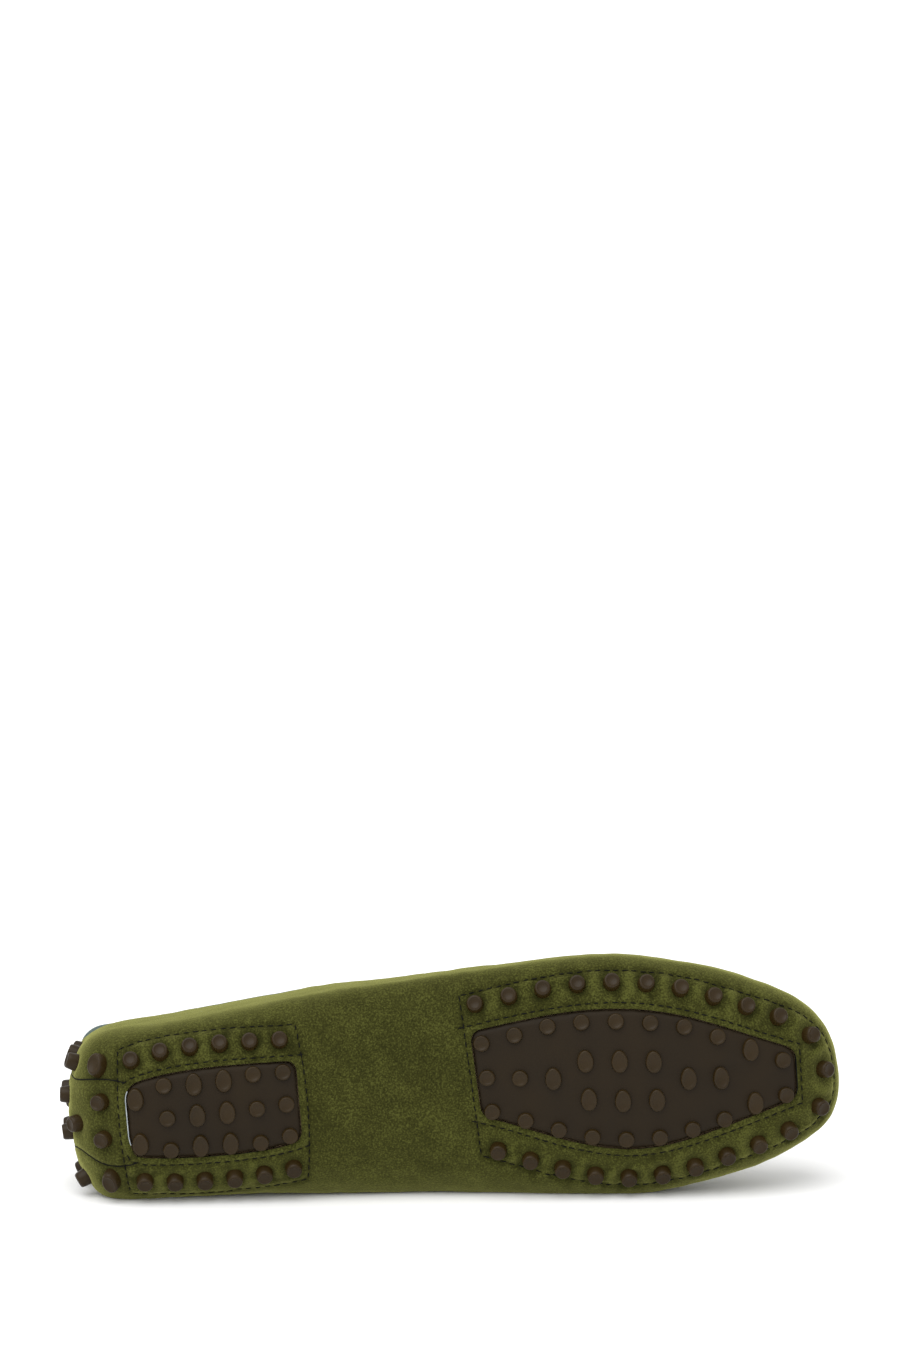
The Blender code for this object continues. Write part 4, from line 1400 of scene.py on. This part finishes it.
# %% Footbed inside
FOOTBED_DEPTH = 4.2
FOOTBED_THICK = 2.0
FOOTBED_EDGE = -35.0
FOOTBED_COLUMNS = 200
FOOTBED_ROWS = 18
footbed, grid = unit_grid("footbed", FOOTBED_COLUMNS, FOOTBED_ROWS)
across = np.rint((grid[:, 0] + 1) / 2 * FOOTBED_COLUMNS).astype(int) % FOOTBED_COLUMNS
angles = -90 + (FOOTBED_EDGE + 90) * (grid[:, 1] + 1) / 2
points, outward = skin(even_places(FOOTBED_COLUMNS)[across], angles)
outward[angles < -89] = (0, 0, -1)
move_points(footbed, points - outward * FOOTBED_DEPTH)
weld(footbed)
face_down(footbed)
footbed.data.materials.append(footbed_leather)
apply_modifier(footbed, "SOLIDIFY", thickness=FOOTBED_THICK * MM, offset=-1)
finish_piece(footbed, "footbed", "insole")

# %% [markdown]
# ## Knot on the apron
# A suede lace is tied on the apron: two short loops lie flat, and three turns of lace are wrapped around
# their middle. Each is a torus primitive, flattened by scaling. One loop and one turn are made and copied.

# %% Loops and turns of the knot
KNOT_X = 150.0
KNOT_LIFT = 0.4
KNOT_HEIGHT = 3.2
LOOP_PLACE = 6.5
LOOP_HEIGHT = 2.4
TURN_PLACES = (-2.5, 0.0, 2.5)


def knot_frame():
    """Return the frame of the knot on the crest: forwards, across and up, in metres."""
    half = np.linspace(0, loop_length / 2, FINE_COLUMNS)
    place = np.interp(KNOT_X, ribs_at(half)[:, 0], half)
    point, inner_way = skin(place, 90.0)
    _, outer_way = skin(-place, 90.0)
    up = Vector(inner_way + outer_way).normalized()
    across = Vector((0, 1, 0))
    turn = Matrix((across.cross(up), across, up)).transposed().to_4x4()
    turn.translation = (Vector(point) + up * KNOT_LIFT) * MM
    return turn


def lace_ring(name, radius, thickness, scale, rotation):
    """Return a ring of lace: a torus, turned and flattened."""
    bpy.ops.object.select_all(action="DESELECT")
    bpy.ops.mesh.primitive_torus_add(major_segments=32, minor_segments=12, major_radius=radius * MM,
                                     minor_radius=thickness * MM, rotation=rotation)
    ring = bpy.context.object
    ring.name = name
    bpy.ops.object.transform_apply(location=False, rotation=True, scale=False)
    ring.scale = scale
    bpy.ops.object.transform_apply(location=False, rotation=False, scale=True)
    return ring


def lift(x, y, z):
    """Return a shift in millimetres as a matrix in metres."""
    return Matrix.Translation(Vector((x, y, z)) * MM)


knot_place = knot_frame()
flat_loop = lace_ring("flat_loop", radius=2.4, thickness=1.35, scale=(1.12, 0.95, 1.25), rotation=(0, 0, 0))
wrapped_turn = lace_ring("wrapped_turn", radius=2.75, thickness=1.3, scale=(1.0, 1.0, 0.78),
                         rotation=(0, math.pi / 2, 0))
knot_pieces = []
for x in (-LOOP_PLACE, LOOP_PLACE):
    knot_pieces.append(placed(flat_loop, "loop", knot_place @ lift(x, 0, LOOP_HEIGHT)))
for x in TURN_PLACES:
    knot_pieces.append(placed(wrapped_turn, "turn", knot_place @ lift(x, 0, KNOT_HEIGHT)))
lace_knot = join("lace_knot", knot_pieces)
lace_knot.data.materials.append(lace_suede)
finish_piece(lace_knot, "lace", "tassel_knot", angle=60)

# %% [markdown]
# ## Tassels
# Each tassel is a lace that runs into a bound head, with a fringe of cut strips. Lace and head are spun from
# half their outline. One strip is a narrow grid with thickness; its copies are bent around the head in two
# rings, with small seeded differences, because cut strips never hang alike.

# %% Head, fringe and two copies
TASSEL_START = 3.8
HEAD_PROFILE = ((0.0, 0.0), (1.3, 0.0), (1.35, 4.3), (2.2, 4.9), (3.2, 5.7), (3.8, 7.0), (3.85, 8.3),
                (3.55, 9.6), (3.0, 10.5), (3.3, 10.8), (3.35, 11.7), (2.9, 12.3), (0.0, 12.4))
FRINGE_TOP = 11.9
FRINGE_END = 33.2
STRIP_WIDTH = 1.75
STRIP_THICK = 0.7
STRIP_COLUMNS = 2
STRIP_ROWS = 9
STRIP_ENDS = (-0.9, 0.3)
STRIP_SPREAD = (-0.35, 0.25)
STRIP_SWING = 0.1
STRIP_CURL = 0.12
STRIP_BENDS = 4
STRIP_SHIFT = 1.7
HEAD_SIDES = 20
FringeRing = namedtuple("FringeRing", "count top_radius end_radius")
FRINGE_RINGS = (FringeRing(16, 2.75, 4.9), FringeRing(10, 1.6, 3.2))


def fringe_strip(shift, ring, turn, random):
    """Return one strip of the fringe, hanging along the z axis."""
    strip, grid = unit_grid("fringe_strip", STRIP_COLUMNS, STRIP_ROWS)
    share = (grid[:, 1] + 1) / 2
    end = FRINGE_END + random.uniform(*STRIP_ENDS)
    radius = ring.top_radius + (ring.end_radius - ring.top_radius) * share**0.7
    radius = radius + random.uniform(*STRIP_SPREAD) * share
    heading = turn + random.uniform(-STRIP_SWING, STRIP_SWING) * share
    heading = heading + STRIP_CURL * np.sin(share * STRIP_BENDS + shift)
    side = grid[:, 0] * STRIP_WIDTH / 2
    points = np.stack((radius * np.cos(heading) - side * np.sin(heading),
                       radius * np.sin(heading) + side * np.cos(heading),
                       FRINGE_TOP + (end - FRINGE_TOP) * share), axis=1)
    move_points(strip, points)
    apply_modifier(strip, "SOLIDIFY", thickness=STRIP_THICK * MM, offset=0)
    return strip


def tassel_shape():
    """Return one tassel along the z axis, from the start of its lace to the end of its fringe."""
    random = np.random.default_rng(21)
    pieces = [turned("tassel_head", HEAD_PROFILE, HEAD_SIDES)]
    for ring in FRINGE_RINGS:
        for k in range(ring.count):
            pieces.append(fringe_strip(k * STRIP_SHIFT, ring, 2 * math.pi * k / ring.count, random))
    shape = join("tassel_shape", pieces)
    shape.data.materials.append(lace_suede)
    return shape


tassel = tassel_shape()
hanging = Matrix.Rotation(-math.pi / 2, 4, "X")
for name, node, x, spin in (("rear_tassel", "tassel_rear", -LOOP_PLACE, 0.0),
                            ("front_tassel", "tassel_front", LOOP_PLACE, 1.3)):
    place = knot_place @ lift(x, TASSEL_START, KNOT_HEIGHT) @ hanging @ Matrix.Rotation(spin, 4, "Z")
    finish_piece(placed(tassel, name, place), "lace", node)

# %% [markdown]
# ## Floor, light and camera
# The shoe lies on a white floor under one large soft light from above, a little in front of it and towards
# the heel. The white world fills the rest. The camera stands two metres away and looks slightly down.

# %% Set the stage
CAMERA_AZIMUTH = math.radians(-2.85)
CAMERA_HEIGHT = math.radians(13.26)
CAMERA_TILT = math.radians(4.21)
CAMERA_LENS = 209.9
CAMERA_DISTANCE = 2.0
CAMERA_AIM = Vector((0.0007, 0, 0.0455))
FLOOR_SIZE = 60
FLOOR_WHITE = (0.95, 0.95, 0.95, 1)
WORLD_STRENGTH = 0.93
LIGHT_STRENGTH = 2.1
LIGHT_SPREAD = math.radians(65)
LIGHT_TURN = (math.radians(22), math.radians(-18), 0)


def white_floor():
    """Add a wide plain floor under the shoe."""
    bpy.ops.object.select_all(action="DESELECT")
    bpy.ops.mesh.primitive_plane_add(size=FLOOR_SIZE, location=(0, 0, 0))
    floor = bpy.context.object
    floor.name = "studio_floor"
    material, shader, _ = new_finish("white_floor")
    shader.inputs["Base Color"].default_value = FLOOR_WHITE
    shader.inputs["Roughness"].default_value = 0.9
    floor.data.materials.append(material)


def studio_light():
    """Add the white world and the large soft light from above."""
    world = bpy.data.worlds.new("studio_white")
    world.use_nodes = True
    background = world.node_tree.nodes["Background"]
    background.inputs["Color"].default_value = (1, 1, 1, 1)
    background.inputs["Strength"].default_value = WORLD_STRENGTH
    bpy.context.scene.world = world
    bpy.context.scene.view_settings.view_transform = "Standard"
    lamp = bpy.data.lights.new("overhead_softbox", "SUN")
    lamp.energy = LIGHT_STRENGTH
    lamp.angle = LIGHT_SPREAD
    linked("overhead_softbox", lamp).rotation_euler = LIGHT_TURN


def studio_camera():
    """Add the camera at the photo's angle."""
    back = Vector((math.sin(CAMERA_AZIMUTH) * math.cos(CAMERA_HEIGHT),
                   -math.cos(CAMERA_AZIMUTH) * math.cos(CAMERA_HEIGHT), math.sin(CAMERA_HEIGHT)))
    right = Vector((0, 0, 1)).cross(back).normalized()
    up = back.cross(right)
    tilted_up = up * math.cos(CAMERA_TILT) + back * math.sin(CAMERA_TILT)
    tilted_back = back * math.cos(CAMERA_TILT) - up * math.sin(CAMERA_TILT)
    lens = bpy.data.cameras.new("studio_camera")
    lens.lens = CAMERA_LENS
    lens.sensor_fit = "HORIZONTAL"
    lens.sensor_width = 36
    camera = linked("studio_camera", lens)
    turn = Matrix((right, tilted_up, tilted_back)).transposed().to_4x4()
    turn.translation = CAMERA_AIM + back * CAMERA_DISTANCE
    camera.matrix_world = turn
    bpy.context.scene.camera = camera


white_floor()
studio_light()
studio_camera()
print("floor, light and camera are set")

# %% [markdown]
# ## Finish
# Shapes that were only copied from are removed.

# %% Remove the shapes copied from
for item in (tall_stud, disc_stud, egg_stud, short_stitch, apron_stitch, flat_loop, wrapped_turn, tassel):
    bpy.data.objects.remove(item, do_unlink=True)
